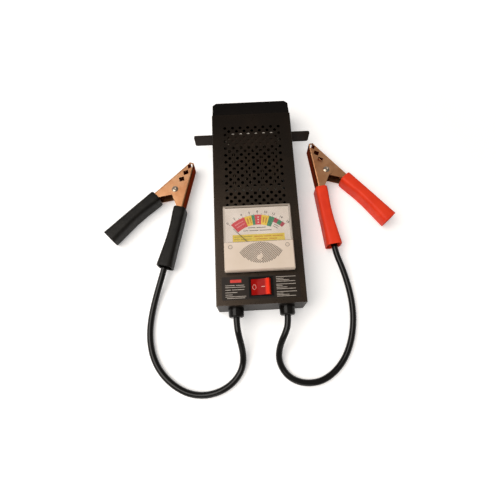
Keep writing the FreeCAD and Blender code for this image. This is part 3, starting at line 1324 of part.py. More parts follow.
save("black_gland", [gland(-1)])
save("red_gland", [gland(1)])
save("gland_nuts", [gland_nut(-1), gland_nut(1)])
save("gland_cables", [gland_cable(-1), gland_cable(1)])
black_end = clamp_entry(BLACK_CLAMP_PLACE, BLACK_CLAMP_TURN, 1)
red_end = clamp_entry(RED_CLAMP_PLACE, RED_CLAMP_TURN, -1)
save("black_cable", [tube("black_cable", BLACK_CABLE + black_end, CABLE_RADIUS)])
save("red_cable", [tube("red_cable", RED_CABLE + red_end, CABLE_RADIUS)])
save("black_lead", [tube("black_lead", BLACK_LEAD, LEAD_RADIUS)])
save("red_lead", [tube("red_lead", RED_LEAD, LEAD_RADIUS)])
save("load_lead", [tube("load_lead", LOAD_LEAD, LEAD_RADIUS)])
save("meter_wires", [tube("plus_wire", PLUS_WIRE, WIRE_RADIUS), tube("minus_wire", MINUS_WIRE, WIRE_RADIUS)])

save_clamp("black", BLACK_CLAMP_PLACE, BLACK_CLAMP_TURN, 1)
save_clamp("red", RED_CLAMP_PLACE, RED_CLAMP_TURN, -1)
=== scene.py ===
import math

import bmesh
import bpy
from mathutils import Matrix, Vector, noise


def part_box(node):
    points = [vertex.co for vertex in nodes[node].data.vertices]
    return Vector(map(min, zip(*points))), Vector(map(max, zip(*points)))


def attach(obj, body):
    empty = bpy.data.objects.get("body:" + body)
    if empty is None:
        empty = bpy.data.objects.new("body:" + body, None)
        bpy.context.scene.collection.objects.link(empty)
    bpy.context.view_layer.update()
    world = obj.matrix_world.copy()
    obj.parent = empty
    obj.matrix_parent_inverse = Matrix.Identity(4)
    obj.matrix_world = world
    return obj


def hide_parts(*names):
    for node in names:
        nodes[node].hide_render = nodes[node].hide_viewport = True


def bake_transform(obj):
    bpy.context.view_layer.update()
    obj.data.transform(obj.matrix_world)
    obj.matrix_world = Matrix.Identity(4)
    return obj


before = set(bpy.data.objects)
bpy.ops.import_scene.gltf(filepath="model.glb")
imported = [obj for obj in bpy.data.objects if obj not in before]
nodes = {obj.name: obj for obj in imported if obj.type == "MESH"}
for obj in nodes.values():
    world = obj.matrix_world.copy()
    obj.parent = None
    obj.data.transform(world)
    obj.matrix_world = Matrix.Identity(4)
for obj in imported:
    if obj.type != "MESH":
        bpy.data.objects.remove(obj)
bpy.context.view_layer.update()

# Battery load tester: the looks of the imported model. Sizes are written in millimetres, as in the part's
# source, and turned to metres where they meet Blender. Places along the case count from its lower end.

MM = 0.001
scene = bpy.context.scene
LOWER_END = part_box("front_cover")[0][1] / MM
DIAL_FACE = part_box("meter_dial")[1][2] / MM
MASK_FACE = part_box("meter_mask")[1][2] / MM
LABEL_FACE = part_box("label_plate")[1][2] / MM
LENS_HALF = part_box("meter_lens")[1][0] / MM
LENS_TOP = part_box("meter_lens")[1][1] / MM
REST_BAR_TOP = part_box("clamp_rest_bar")[1][2] / MM
REST_BAR_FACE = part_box("upper_insulator")[1][1] / MM


def metres(x, y, z):
    return (x * MM, y * MM, z * MM)


# Camera: a short wide lens over the lower end, looking almost straight down
CAMERA_PLACE = (-16.5, -231.8, 522.3)
CAMERA_TURN = (17.59, 0.29, -2.86)
CAMERA_LENS = 27.56
CAMERA_SENSOR = 36.0
CAMERA_NEAR = 10

camera_data = bpy.data.cameras.new("camera")
camera_data.lens = CAMERA_LENS
camera_data.sensor_width = CAMERA_SENSOR
camera_data.clip_start = CAMERA_NEAR * MM
camera = bpy.data.objects.new("camera", camera_data)
camera.location = metres(*CAMERA_PLACE)
camera.rotation_euler = [math.radians(turn) for turn in CAMERA_TURN]
scene.collection.objects.link(camera)
scene.camera = camera


# Materials

# Sockets of a Mix node that share one name: two colours and their result, and two plain numbers
MIX_FIRST = 6
MIX_SECOND = 7
MIX_RESULT = 2
MIX_VALUE_FIRST = 2
MIX_VALUE_SECOND = 3
# Where on its noise a colour drifts from one shade to the other, and where the grain moves the gloss
DRIFT_STOPS = (0.32, 0.68)
DRIFT_DETAIL = 3.0
GRAIN_RANGE = (0.3, 0.7)
GRAIN_DETAIL = 2.0
# How far a rounded normal leans away from the face (as a cosine) where edge wear and painted highlight begin,
# and where they are full
EDGE_WEAR_AND_HIGHLIGHT_RANGE = (0.99, 0.8)
EDGE_WEAR_AND_HIGHLIGHT_SAMPLES = 6


def linear(shade):
    """Linear colour of an sRGB hex value such as "#C02018"."""
    channels = [int(shade[i:i + 2], 16) / 255 for i in (1, 3, 5)]
    return tuple(c / 12.92 if c <= 0.04045 else ((c + 0.055) / 1.055) ** 2.4 for c in channels) + (1.0,)


def add(tree, kind, inputs, **settings):
    """A new node of that kind, with its settings, and each input set to a value or linked to an output."""
    node = tree.nodes.new("ShaderNode" + kind)
    for name, value in settings.items():
        setattr(node, name, value)
    for name, value in inputs.items():
        if isinstance(value, bpy.types.NodeSocket):
            tree.links.new(value, node.inputs[name])
        else:
            node.inputs[name].default_value = value
    return node


def finish(name, shades, patch, grain, relief, gloss, stretch=(1, 1, 1), **fixed):
    """A substance whose colour drifts between two shades over patches of that size, and whose fine grain,
    of that size and relief, also moves its gloss between two roughnesses. Sizes are in millimetres."""
    material = bpy.data.materials.new(name)
    material.use_nodes = True
    tree = material.node_tree
    tree.nodes.clear()
    place = add(tree, "TexCoord", {}).outputs["Object"]
    grained = add(tree, "Mapping", {"Vector": place, "Scale": stretch}).outputs["Vector"]
    drift = add(tree, "TexNoise", {"Vector": place, "Scale": 1 / (patch * MM), "Detail": DRIFT_DETAIL})
    pores = add(tree, "TexNoise", {"Vector": grained, "Scale": 1 / (grain * MM), "Detail": GRAIN_DETAIL})
    colour = add(tree, "ValToRGB", {"Fac": drift.outputs["Fac"]})
    for stop, spot, shade in zip(colour.color_ramp.elements, DRIFT_STOPS, shades):
        stop.position = spot
        stop.color = linear(shade)
    rough = add(tree, "MapRange", {"Value": pores.outputs["Fac"], "From Min": GRAIN_RANGE[0],
                                   "From Max": GRAIN_RANGE[1], "To Min": gloss[0], "To Max": gloss[1]})
    bump = add(tree, "Bump", {"Height": pores.outputs["Fac"], "Distance": relief * MM, "Strength": 1.0})
    inputs = {"Base Color": colour.outputs["Color"], "Roughness": rough.outputs["Result"],
              "Normal": bump.outputs["Normal"]}
    shader = add(tree, "BsdfPrincipled", {**inputs, **fixed}, name="surface")
    add(tree, "OutputMaterial", {"Surface": shader.outputs["BSDF"]}, name="output")
    return material


def wear_edges(material, shade, width, share):
    """Lighten a substance along its outer edges over a band of that width in millimetres: handling wear on
    the powder coat, painted highlight on the copper."""
    tree = material.node_tree
    shader = tree.nodes["surface"]
    whole = shader.inputs["Base Color"].links[0].from_socket
    rounded = add(tree, "Bevel", {"Radius": width * MM}, samples=EDGE_WEAR_AND_HIGHLIGHT_SAMPLES)
    flat = add(tree, "NewGeometry", {})
    facing = add(tree, "VectorMath", {0: rounded.outputs["Normal"], 1: flat.outputs["Normal"]},
                 operation="DOT_PRODUCT")
    edge = add(tree, "MapRange", {"Value": facing.outputs["Value"], "From Min": EDGE_WEAR_AND_HIGHLIGHT_RANGE[0],
                                  "From Max": EDGE_WEAR_AND_HIGHLIGHT_RANGE[1], "To Min": 0.0, "To Max": share})
    worn_and_lit = add(tree, "Mix", {"Factor": edge.outputs["Result"], MIX_FIRST: whole, MIX_SECOND: linear(shade)},
               data_type="RGBA")
    tree.links.new(worn_and_lit.outputs[MIX_RESULT], shader.inputs["Base Color"])
    return material


# Powder coat towards the upper end: where its painted shade begins and ends, counted from the lower end, how
# far it goes towards black, and the share of its shine that is left
UPPER_SHADE_START = 120.0
UPPER_SHADE_END = 300.0
UPPER_SHADE_SHARE = 0.75
UPPER_SHINE_SHARE = 0.25
# Rest bar: how far below its top, and in front of the upper block, its coat is painted pale grey as a painted
# glint
GLINT_DEPTH = 1.6
GLINT_BACK = 0.8


def powder_coat(name, shades, gloss, shine):
    """Powder coat, baked on folded steel: brown black, dull, with an orange peel that breaks up reflections.
    The peel is about 1 mm in life, and drawn at 1.8 mm so that it shows. Towards the upper end its colour is
    painted blacker, as painted shade, and its shine drops."""
    material = finish(name, shades, patch=34, grain=1.8, relief=0.02, gloss=gloss,
                      **{"Specular Tint": linear("#FFE8D2")})
    tree = material.node_tree
    surface = tree.nodes["surface"]
    fresh = surface.inputs["Base Color"].links[0].from_socket
    place = add(tree, "SeparateXYZ", {"Vector": add(tree, "TexCoord", {}).outputs["Object"]})
    toward_upper = add(tree, "MapRange", {"Value": place.outputs["Y"], "From Min": (LOWER_END + UPPER_SHADE_START) * MM,
                                  "From Max": (LOWER_END + UPPER_SHADE_END) * MM})
    upper_shade = add(tree, "MapRange", {"Value": toward_upper.outputs["Result"], "To Max": UPPER_SHADE_SHARE})
    # Towards the upper end the colour is painted blacker, as painted shade.
    shade = add(tree, "Mix", {"Factor": upper_shade.outputs["Result"], MIX_FIRST: fresh,
                              MIX_SECOND: linear("#070707")}, data_type="RGBA")
    level = add(tree, "MapRange", {"Value": toward_upper.outputs["Result"], "To Min": shine,
                                   "To Max": shine * UPPER_SHINE_SHARE})
    tree.links.new(shade.outputs[MIX_RESULT], surface.inputs["Base Color"])
    tree.links.new(level.outputs["Result"], surface.inputs["Specular IOR Level"])
    return wear_edges(material, "#352B23", width=0.9, share=0.5)


def rubbed_coat():
    """The same coat on the rest bar, in lighter shades, with a pale grey painted glint along the crest of its
    fold.
    """
    # Its shades are lighter than the cover's, to make up for the painted shade towards the upper end.
    material = powder_coat("glinting_powder_coat", ("#2A211C", "#3A2E26"), gloss=(0.4, 0.5), shine=0.2)
    tree = material.node_tree
    surface = tree.nodes["surface"]
    coat = surface.inputs["Base Color"].links[0].from_socket
    place = add(tree, "SeparateXYZ", {"Vector": add(tree, "TexCoord", {}).outputs["Object"]})
    high = add(tree, "Math", {0: place.outputs["Z"], 1: (REST_BAR_TOP - GLINT_DEPTH) * MM},
               operation="GREATER_THAN")
    back = add(tree, "Math", {0: place.outputs["Y"], 1: (REST_BAR_FACE - GLINT_BACK) * MM},
               operation="GREATER_THAN")
    glint_mask = add(tree, "Math", {0: high.outputs["Value"], 1: back.outputs["Value"]}, operation="MULTIPLY")
    # The pale grey along the crest is a painted glint.
    glinted = add(tree, "Mix", {"Factor": glint_mask.outputs["Value"], MIX_FIRST: coat,
                               MIX_SECOND: linear("#C9C3BA")}, data_type="RGBA")
    tree.links.new(glinted.outputs[MIX_RESULT], surface.inputs["Base Color"])
    return material


cover_paint = powder_coat("satin_powder_coat", ("#120D09", "#20170F"), gloss=(0.26, 0.36), shine=0.45)
shell_paint = powder_coat("dull_powder_coat", ("#0F0B09", "#1A130E"), gloss=(0.4, 0.5), shine=0.1)
bar_paint = rubbed_coat()

# Zinc plate on steel: bluish bright metal, a little cloudy.
zinc = finish("zinc_plated_steel", ("#A9ADB2", "#C6C8CA"), patch=4, grain=0.5, relief=0.01,
              gloss=(0.22, 0.36), Metallic=1.0)

# Nickel plate on the rolled rivets: warm grey, worn smooth.
nickel = finish("nickel_plated_rivet", ("#8E8072", "#A89A8A"), patch=3, grain=0.5, relief=0.01,
                gloss=(0.2, 0.32), Metallic=1.0)

# Spring steel, oil tempered: dark grey wire with a dull shine.
spring_steel = finish("oil_tempered_spring_steel", ("#5A5753", "#77736D"), patch=5, grain=0.4, relief=0.01,
                      gloss=(0.3, 0.42), Metallic=1.0)

# Steatite, pressed and fired: chalky, greyed by heat, with faint specks.
steatite = finish("fired_steatite", ("#9C9283", "#B5AB9A"), patch=12, grain=0.9, relief=0.05,
                  gloss=(0.6, 0.8))

# The lower block sits in the draught and is smoked darker, and its bracket's plating has gone dull.
smoked_steatite = finish("smoked_steatite", ("#4A443B", "#5E574B"), patch=12, grain=0.9, relief=0.05,
                         gloss=(0.6, 0.8))
dull_zinc = finish("heat_dulled_zinc", ("#4E4B47", "#625E59"), patch=5, grain=0.6, relief=0.02,
                   gloss=(0.45, 0.6), Metallic=1.0)

# Nickel chrome ribbon, rolled and heat tinted: grey brown metal with straw and violet patches.
heated_ribbon = finish("heat_tinted_nickel_chrome", ("#6F6258", "#94836B"), patch=9, grain=0.7,
                       relief=0.01, gloss=(0.32, 0.5), stretch=(1, 0.15, 1), Metallic=1.0)

# Phenolic, hot pressed: black, hard, with an even satin skin.
phenolic = finish("black_phenolic", ("#161412", "#201D1A"), patch=15, grain=0.8, relief=0.015,
                  gloss=(0.3, 0.42))

# ABS, moulded: warm cream with a fine spark-eroded texture that takes the shine off.
cream_abs = finish("cream_abs", ("#D4C3B1", "#DCCCBC"), patch=26, grain=0.9, relief=0.02,
                   gloss=(0.38, 0.52))

# Stove enamel on the dial's sheet metal: matt warm white.
dial_enamel = finish("matt_dial_enamel", ("#DDD5CE", "#E7E0DA"), patch=22, grain=0.8, relief=0.008,
                     gloss=(0.5, 0.62))

# Lacquer on the needle: thin, black and matt.
needle_lacquer = finish("black_needle_lacquer", ("#14110F", "#1F1B18"), patch=6, grain=0.5, relief=0.005,
                        gloss=(0.4, 0.55))

# Alnico, cast and ground: plain grey metal, coarse and dull.
alnico = finish("cast_alnico", ("#7C7A76", "#96938D"), patch=6, grain=1.1, relief=0.05, gloss=(0.4, 0.6),
                Metallic=1.0)

# Enamelled copper wire: amber brown turns with a clear gloss.
coil_wire = finish("enamelled_copper_wire", ("#9A4F22", "#B8652E"), patch=3, grain=0.35, relief=0.04,
                   gloss=(0.2, 0.3), stretch=(1, 1, 6), Metallic=1.0)

# Brass, turned: yellow metal with fine tool lines.
brass = finish("turned_brass", ("#B7964A", "#CDB064"), patch=5, grain=0.35, relief=0.01,
               gloss=(0.22, 0.36), stretch=(1, 1, 5), Metallic=1.0)

# Polyester film: satin black sheet that carries the label's print.
label_film = finish("satin_label_film", ("#1A130D", "#231A12"), patch=30, grain=1.2, relief=0.006,
                    gloss=(0.34, 0.44), **{"Specular IOR Level": 0.22})

# Nylon, moulded: black, waxy, slightly uneven gloss.
nylon = finish("black_moulded_nylon", ("#080605", "#0F0C0A"), patch=9, grain=0.8, relief=0.02,
               gloss=(0.14, 0.24), **{"Specular IOR Level": 0.18})


# Rocker key: where across it the red turns to the painted bright red of its raised end
BRIGHT_END_START = 4.0
BRIGHT_END_FULL = 7.5


def red_polycarbonate():
    """Polycarbonate, moulded and tinted through: polished red. Towards its raised end the red is painted
    brighter, as painted light shining through the key."""
    material = finish("polished_red_polycarbonate", ("#8E0D0A", "#9B120D"), patch=10, grain=1.0,
                      relief=0.004, gloss=(0.16, 0.22), **{"Specular IOR Level": 0.06})
    tree = material.node_tree
    surface = tree.nodes["surface"]
    plain_red = surface.inputs["Base Color"].links[0].from_socket
    place = add(tree, "SeparateXYZ", {"Vector": add(tree, "TexCoord", {}).outputs["Object"]})
    thin = add(tree, "MapRange", {"Value": place.outputs["X"], "From Min": BRIGHT_END_START * MM,
                                  "From Max": BRIGHT_END_FULL * MM, "To Min": 0.0, "To Max": 1.0},
               interpolation_type="SMOOTHSTEP")
    # The brighter red at the raised end is painted light.
    red = add(tree, "Mix", {"Factor": thin.outputs["Result"], MIX_FIRST: plain_red,
                            MIX_SECOND: linear("#E8351F")}, data_type="RGBA")
    tree.links.new(red.outputs[MIX_RESULT], surface.inputs["Base Color"])
    return material


red_key = red_polycarbonate()

# PVC jacket, extruded: black and glossy, with faint lengthwise drag.
jacket = finish("extruded_black_pvc", ("#070605", "#0E0C0A"), patch=16, grain=1.4, relief=0.012,
                gloss=(0.1, 0.18), **{"Specular IOR Level": 0.27})

# PVC insulation, extruded: plain signal red.
red_insulation = finish("extruded_red_pvc", ("#A81F18", "#BC2A20"), patch=12, grain=1.0, relief=0.01,
                        gloss=(0.3, 0.42), IOR=1.53)


# Copper plate: how level a face is (1 lies flat) where the plain copper begins to show over the painted
# shade, and where it is full
UPRIGHT_SHADE_RANGE = (0.35, 0.85)


def copper_plate():
    """Copper plate on stamped steel: pinkish tan on the flat faces, with tarnish in broad patches, and edges
    painted lighter as painted highlight. Upright faces, the folded walls and the inside, are painted red
    brown as painted shade."""
    material = finish("copper_plated_steel", ("#BC8259", "#D2A078"), patch=16, grain=1.2, relief=0.015,
                      gloss=(0.32, 0.46), stretch=(1, 0.2, 1), Metallic=1.0,
                      **{"Specular Tint": linear("#BC9683")})
    tree = material.node_tree
    surface = tree.nodes["surface"]
    plain_copper = surface.inputs["Base Color"].links[0].from_socket
    facing = add(tree, "SeparateXYZ", {"Vector": add(tree, "NewGeometry", {}).outputs["True Normal"]})
    level = add(tree, "Math", {0: facing.outputs["Z"]}, operation="ABSOLUTE")
    flat = add(tree, "MapRange", {"Value": level.outputs["Value"], "From Min": UPRIGHT_SHADE_RANGE[0],
                                  "From Max": UPRIGHT_SHADE_RANGE[1]})
    # Upright faces take the darker red brown as painted shade in the folds and inside.
    both = add(tree, "Mix", {"Factor": flat.outputs["Result"], MIX_FIRST: linear("#6B3B27"),
                             MIX_SECOND: plain_copper}, data_type="RGBA")
    tree.links.new(both.outputs[MIX_RESULT], surface.inputs["Base Color"])
    # Its edges are lightened as painted highlight, where the bends catch the light.
    return wear_edges(material, "#E6BF9C", width=0.5, share=0.6)


copper = copper_plate()

# Vinyl, dipped: thick soft skin with a low gloss, dents and shallow dimples about 2 mm across.
black_vinyl = finish("dipped_black_vinyl", ("#0E0D0B", "#1A1814"), patch=13, grain=2.0, relief=0.09,
                     gloss=(0.42, 0.6), **{"Specular IOR Level": 0.17})
red_vinyl = finish("dipped_red_vinyl", ("#DA3417", "#E63D1C"), patch=18, grain=2.0, relief=0.07,
                   gloss=(0.42, 0.6), **{"Specular IOR Level": 0.22})


# Lens: thickness of its cloudy side and top walls, and how much light these let through
LENS_SIDE_WALL = 2.7
LENS_TOP_WALL = 3.2
WALL_CLEARNESS = 0.25


def clear_acrylic():
    """Acrylic, moulded: clear, polished, faintly warm. Lamps shine through it on to the dial. Its upright
    walls are cloudy, as thick moulded edges are, and the top wall is painted greyer than the sides, as
    painted shade."""
    material = finish("clear_acrylic", ("#ECE6DF", "#F6F2ED"), patch=40, grain=6.0, relief=0.002,
                      gloss=(0.03, 0.07), IOR=1.49, **{"Transmission Weight": 1.0})
    tree = material.node_tree
    path = add(tree, "LightPath", {})
    lamps = add(tree, "Math", {0: path.outputs["Is Shadow Ray"], 1: path.outputs["Is Diffuse Ray"]},
                operation="MAXIMUM")
    place = add(tree, "SeparateXYZ", {"Vector": add(tree, "TexCoord", {}).outputs["Object"]})
    across = add(tree, "Math", {0: place.outputs["X"]}, operation="ABSOLUTE")
    side = add(tree, "Math", {0: across.outputs["Value"], 1: (LENS_HALF - LENS_SIDE_WALL) * MM},
               operation="GREATER_THAN")
    top = add(tree, "Math", {0: place.outputs["Y"], 1: (LENS_TOP - LENS_TOP_WALL) * MM},
              operation="GREATER_THAN")
    wall = add(tree, "Math", {0: side.outputs["Value"], 1: top.outputs["Value"]}, operation="MAXIMUM")
    clear = add(tree, "MapRange", {"Value": wall.outputs["Value"], "To Min": 1.0, "To Max": WALL_CLEARNESS})
    surface = tree.nodes["surface"]
    polished = surface.inputs["Base Color"].links[0].from_socket
    sides = add(tree, "Mix", {"Factor": side.outputs["Value"], MIX_FIRST: polished,
                              MIX_SECOND: linear("#CBC0B4")}, data_type="RGBA")
    # The top wall's greyer colour is painted shade.
    edges = add(tree, "Mix", {"Factor": top.outputs["Value"], MIX_FIRST: sides.outputs[MIX_RESULT],
                              MIX_SECOND: linear("#A1968A")}, data_type="RGBA")
    tree.links.new(edges.outputs[MIX_RESULT], surface.inputs["Base Color"])
    tree.links.new(clear.outputs["Result"], surface.inputs["Transmission Weight"])
    open_way = add(tree, "BsdfTransparent", {})
    both = add(tree, "MixShader", {0: lamps.outputs["Value"], 1: surface.outputs["BSDF"],
                                   2: open_way.outputs["BSDF"]})
    tree.links.new(both.outputs["Shader"], tree.nodes["output"].inputs["Surface"])
    return material


acrylic = clear_acrylic()


def ink(name, shade, thin):
    """Screen ink: flat and matt, a little thin in places, so the second shade shows through."""
    return finish(name, (shade, thin), patch=3, grain=0.6, relief=0.004, gloss=(0.5, 0.65))


red_ink = ink("red_screen_ink", "#C6343F", "#D24C56")
dull_red_ink = ink("dull_red_screen_ink", "#A33347", "#B04456")
yellow_ink = ink("yellow_screen_ink", "#E2BF35", "#EACD52")
green_ink = ink("green_screen_ink", "#2F7C5A", "#4A8F6E")
black_ink = ink("black_screen_ink", "#2A2626", "#3B3533")
white_ink = ink("white_screen_ink", "#CFC8C0", "#E2DCD5")
pale_ink = ink("pale_red_screen_ink", "#D8848A", "#E0979B")
grey_ink = ink("grey_screen_ink", "#A2998F", "#C6BDB2")
key_ink = ink("pink_pad_ink", "#D79F93", "#E2B3A8")
bar_ink = ink("mustard_screen_ink", "#D9BF42", "#E0CA58")
olive_ink = ink("olive_screen_ink", "#8F8636", "#A0963F")
orange_ink = ink("orange_screen_ink", "#BD862C", "#C99338")
signal_ink = ink("signal_red_screen_ink", "#C4281E", "#D23A2C")

NODE_FINISHES = (
    (cover_paint, ("front_cover",)),
    (shell_paint, ("rear_shell",)),
    (bar_paint, ("clamp_rest_bar",)),
    (zinc, ("case_screws", "gland_nuts", "meter_frame")),
    (dull_zinc, ("element_bracket",)),
    (nickel, ("black_rivet", "red_rivet")),
    (spring_steel, ("switch_spring", "hairspring", "black_jaw_spring", "red_jaw_spring")),
    (steatite, ("upper_insulator",)),
    (smoked_steatite, ("lower_insulator",)),
    (heated_ribbon, ("load_ribbon",)),
    (phenolic, ("meter_case",)),
    (acrylic, ("meter_lens",)),
    (cream_abs, ("meter_mask", "zero_adjuster", "meter_screws")),
    (dial_enamel, ("meter_dial",)),
    (needle_lacquer, ("meter_pointer",)),
    (alnico, ("meter_magnet",)),
    (coil_wire, ("moving_coil",)),
    (brass, ("meter_studs", "stud_nuts", "switch_lever", "switch_terminals")),
    (label_film, ("label_plate",)),
    (nylon, ("switch_housing", "switch_plunger", "black_gland", "red_gland")),
    (red_key, ("switch_rocker",)),
    (jacket, ("gland_cables", "black_cable", "red_cable", "black_cable_tail", "red_cable_tail", "black_lead",
              "load_lead", "red_lead")),
    (red_insulation, ("meter_wires",)),
    (copper, ("black_jaw_fixed", "black_jaw_moving", "red_jaw_fixed", "red_jaw_moving")),
    (black_vinyl, ("black_grip_fixed", "black_grip_moving")),
    (red_vinyl, ("red_grip_fixed", "red_grip_moving")),
)
for substance, names in NODE_FINISHES:
    for name in names:
        for slot in nodes[name].material_slots:
            slot.material = substance


# How pieces are built and set down

# Points closer than this are joined into one
WELD = 0.001


def slab(mesh, outline, low, high, slot=0):
    """A closed plate with that outline of (x, y) points, between two heights, all in millimetres."""
    under = [mesh.verts.new(metres(x, y, low)) for x, y in outline]
    over = [mesh.verts.new(metres(x, y, high)) for x, y in outline]
    faces = [mesh.faces.new(under[::-1]), mesh.faces.new(over)]
    for i in range(len(outline)):
        faces.append(mesh.faces.new((under[i - 1], under[i], over[i], over[i - 1])))
    for face in faces:
        face.material_index = slot


def place_mesh(name, mesh, materials):
    """Turn a built mesh into an object of the scene."""
    bmesh.ops.recalc_face_normals(mesh, faces=mesh.faces)
    data = bpy.data.meshes.new(name)
    mesh.to_mesh(data)
    mesh.free()
    for material in materials:
        data.materials.append(material)
    piece = bpy.data.objects.new(name, data)
    scene.collection.objects.link(piece)
    return piece


def set_down(name, mesh, materials, body):
    """Turn a built mesh into a piece that moves with that body."""
    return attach(place_mesh(name, mesh, materials), body)


# Clamps, as (place of the rivet, turn in degrees, side of the fixed half). Places are the part's own.
BLACK_CLAMP = ((-114.2, 176.2), -30.6, 1)
RED_CLAMP = ((106.4, 196.6), 23.0, -1)
CLAMP_HEIGHT = 13.5

# Grips: soft vinyl sleeves, slim behind the jaw and flared at the open end
HANDLE_LEAN = 16.6
SLEEVE_MOUTH = (19.64, -20.07)
SLEEVE_SIDES = 48
SLEEVE_RIPPLE = 0.45
RIPPLE_SIZE = 12.0
# Outer skin, as (place along it, half width, half height, shift outwards, squareness)
SLEEVE_SKIN = (
    (0.0, 8.1, 12.4, 0.0, 4.6), (0.7, 8.8, 13.1, 0.0, 4.6), (2.4, 9.3, 13.4, 0.0, 4.6),
    (9.0, 9.2, 13.4, 0.1, 4.6), (18.0, 8.9, 13.4, 0.5, 4.6), (28.0, 8.7, 13.4, 0.9, 4.6),
    (38.0, 8.7, 13.4, 1.1, 4.5), (48.0, 8.9, 13.4, 1.1, 4.4), (58.0, 9.4, 13.4, 0.8, 4.2),
    (68.0, 10.0, 13.3, 0.5, 4.0), (78.0, 10.7, 13.1, 0.2, 3.8), (85.0, 11.2, 12.9, 0.0, 3.6),
    (87.8, 11.3, 12.8, 0.0, 3.6), (88.4, 11.1, 12.6, 0.0, 3.6), (88.6, 10.7, 12.2, 0.0, 3.6),
)
# Inner skin, from the open end back to the collar that hugs the handle
SLEEVE_ROOM = (
    (88.6, 9.9, 11.6, 0.0, 3.6), (88.3, 9.5, 11.5, 0.0, 3.6), (86.0, 9.3, 11.6, 0.0, 3.6),
    (74.0, 8.6, 11.9, 0.2, 4.0), (50.0, 7.2, 12.0, 0.8, 5.0), (22.0, 6.4, 12.0, 0.4, 7.0),
    (18.0, 5.2, 11.8, 0.0, 9.0), (2.0, 5.1, 11.8, 0.0, 9.0), (0.0, 5.2, 11.8, 0.0, 9.0),
)


def sleeve_ring(mesh, station, ripple):
    """One ring of a sleeve's skin: a rounded oval across the handle, a little uneven where it ripples."""
    along, wide, tall, shift, square = station
    ring = []
    for i in range(SLEEVE_SIDES):
        angle = 2 * math.pi * (i + 0.5) / SLEEVE_SIDES
        c, s = math.cos(angle), math.sin(angle)
        reach = (abs(c) ** square + abs(s) ** square) ** (-1 / square)
        spot = Vector((along, c * reach * wide + shift, s * reach * tall))
        if ripple:
            push = noise.noise(spot / RIPPLE_SIZE) * SLEEVE_RIPPLE
            spot -= Vector((0, c, s)) * (SLEEVE_RIPPLE + push) / 2
        ring.append(mesh.verts.new(spot * MM))
    return ring


def clamp_place(clamp, flip):
    """From a clamp's own frame, about its rivet, to the part's; flip mirrors it for the free half."""
    (x, y), turn, fixed_side = clamp
    side = Matrix.Scale(fixed_side * flip, 4, Vector((1, 0, 0)))
    turned = Matrix.Rotation(math.radians(turn), 4, "Z")
    return Matrix.Translation(metres(x, LOWER_END + y, CLAMP_HEIGHT)) @ turned @ side


def grip_sleeve(colour, clamp, half, flip, body, vinyl):
    """One grip: outer skin, rolled lip and inner skin, joined into a closed ring round the handle."""
    mesh = bmesh.new()
    rings = [sleeve_ring(mesh, station, True) for station in SLEEVE_SKIN]
    rings += [sleeve_ring(mesh, station, False) for station in SLEEVE_ROOM]
    for i, ring in enumerate(rings):
        before = rings[i - 1]
        for j in range(SLEEVE_SIDES):
            mesh.faces.new((before[j - 1], before[j], ring[j], ring[j - 1]))
    leaned = Matrix.Rotation(math.radians(HANDLE_LEAN - 90), 4, "Z")
    mesh.transform(clamp_place(clamp, flip) @ Matrix.Translation(metres(*SLEEVE_MOUTH, 0)) @ leaned)
    for face in mesh.faces:
        face.smooth = True
    sleeve = set_down("%s_%s_sleeve" % (colour, half), mesh, [vinyl], body)
    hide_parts("%s_grip_%s" % (colour, half))
    return sleeve


# Jaw springs: the part's torsion springs, as pieces of round wire. The wire's size is its radius, and the
# start and step are in degrees.
SPRING_WIRE = 0.9
SPRING_RADIUS = 5.2
SPRING_PITCH = 2.7
SPRING_TURNS = 3
SPRING_LEG = 28.0
SPRING_START = 38.15
SPRING_STEP = 9.0


def jaw_coil(colour, clamp):
    """One jaw spring: round wire along a leg, the coil's turns and the other leg."""
    sweep = 180 - 2 * SPRING_START + 360 * SPRING_TURNS
    rise = SPRING_PITCH * sweep / 360
    steps = round(sweep / SPRING_STEP)
    coil = []
    for i in range(steps + 1):
        angle = math.radians(SPRING_START + sweep * i / steps)
        coil.append(Vector((SPRING_RADIUS * math.cos(angle), SPRING_RADIUS * math.sin(angle),
                            rise * (i / steps - 0.5))))
    out = SPRING_LEG * math.sin(math.radians(SPRING_START))
    down = SPRING_LEG * math.cos(math.radians(SPRING_START))
    path = [coil[0] + Vector((out, -down, 0))] + coil + [coil[-1] + Vector((-out, -down, 0))]
    wire = bpy.data.curves.new("wire", "CURVE")
    wire.dimensions = "3D"
    wire.bevel_depth = SPRING_WIRE * MM
    wire.use_fill_caps = True
    spline = wire.splines.new("POLY")
    spline.points.add(len(path) - 1)
    for point, spot in zip(spline.points, path):
        point.co = metres(*spot) + (1.0,)
    holder = bpy.data.objects.new("wire", wire)
    drawn = bpy.data.meshes.new_from_object(holder)
    mesh = bmesh.new()
    mesh.from_mesh(drawn)
    bpy.data.objects.remove(holder)
    bpy.data.curves.remove(wire)
    bpy.data.meshes.remove(drawn)
    mesh.transform(clamp_place(clamp, 1))
    bmesh.ops.remove_doubles(mesh, verts=mesh.verts, dist=WELD * MM)
    for face in mesh.faces:
        face.smooth = len(face.verts) == 4
    spring = place_mesh(colour + "_jaw_coil", mesh, [spring_steel])
    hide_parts(colour + "_jaw_spring")
    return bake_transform(spring)


for colour, clamp, vinyl in (("black", BLACK_CLAMP, black_vinyl), ("red", RED_CLAMP, red_vinyl)):
    grip_sleeve(colour, clamp, "fixed", 1, "case", vinyl)
    grip_sleeve(colour, clamp, "moving", -1, colour + "_free_half", vinyl)
    jaw_coil(colour, clamp)


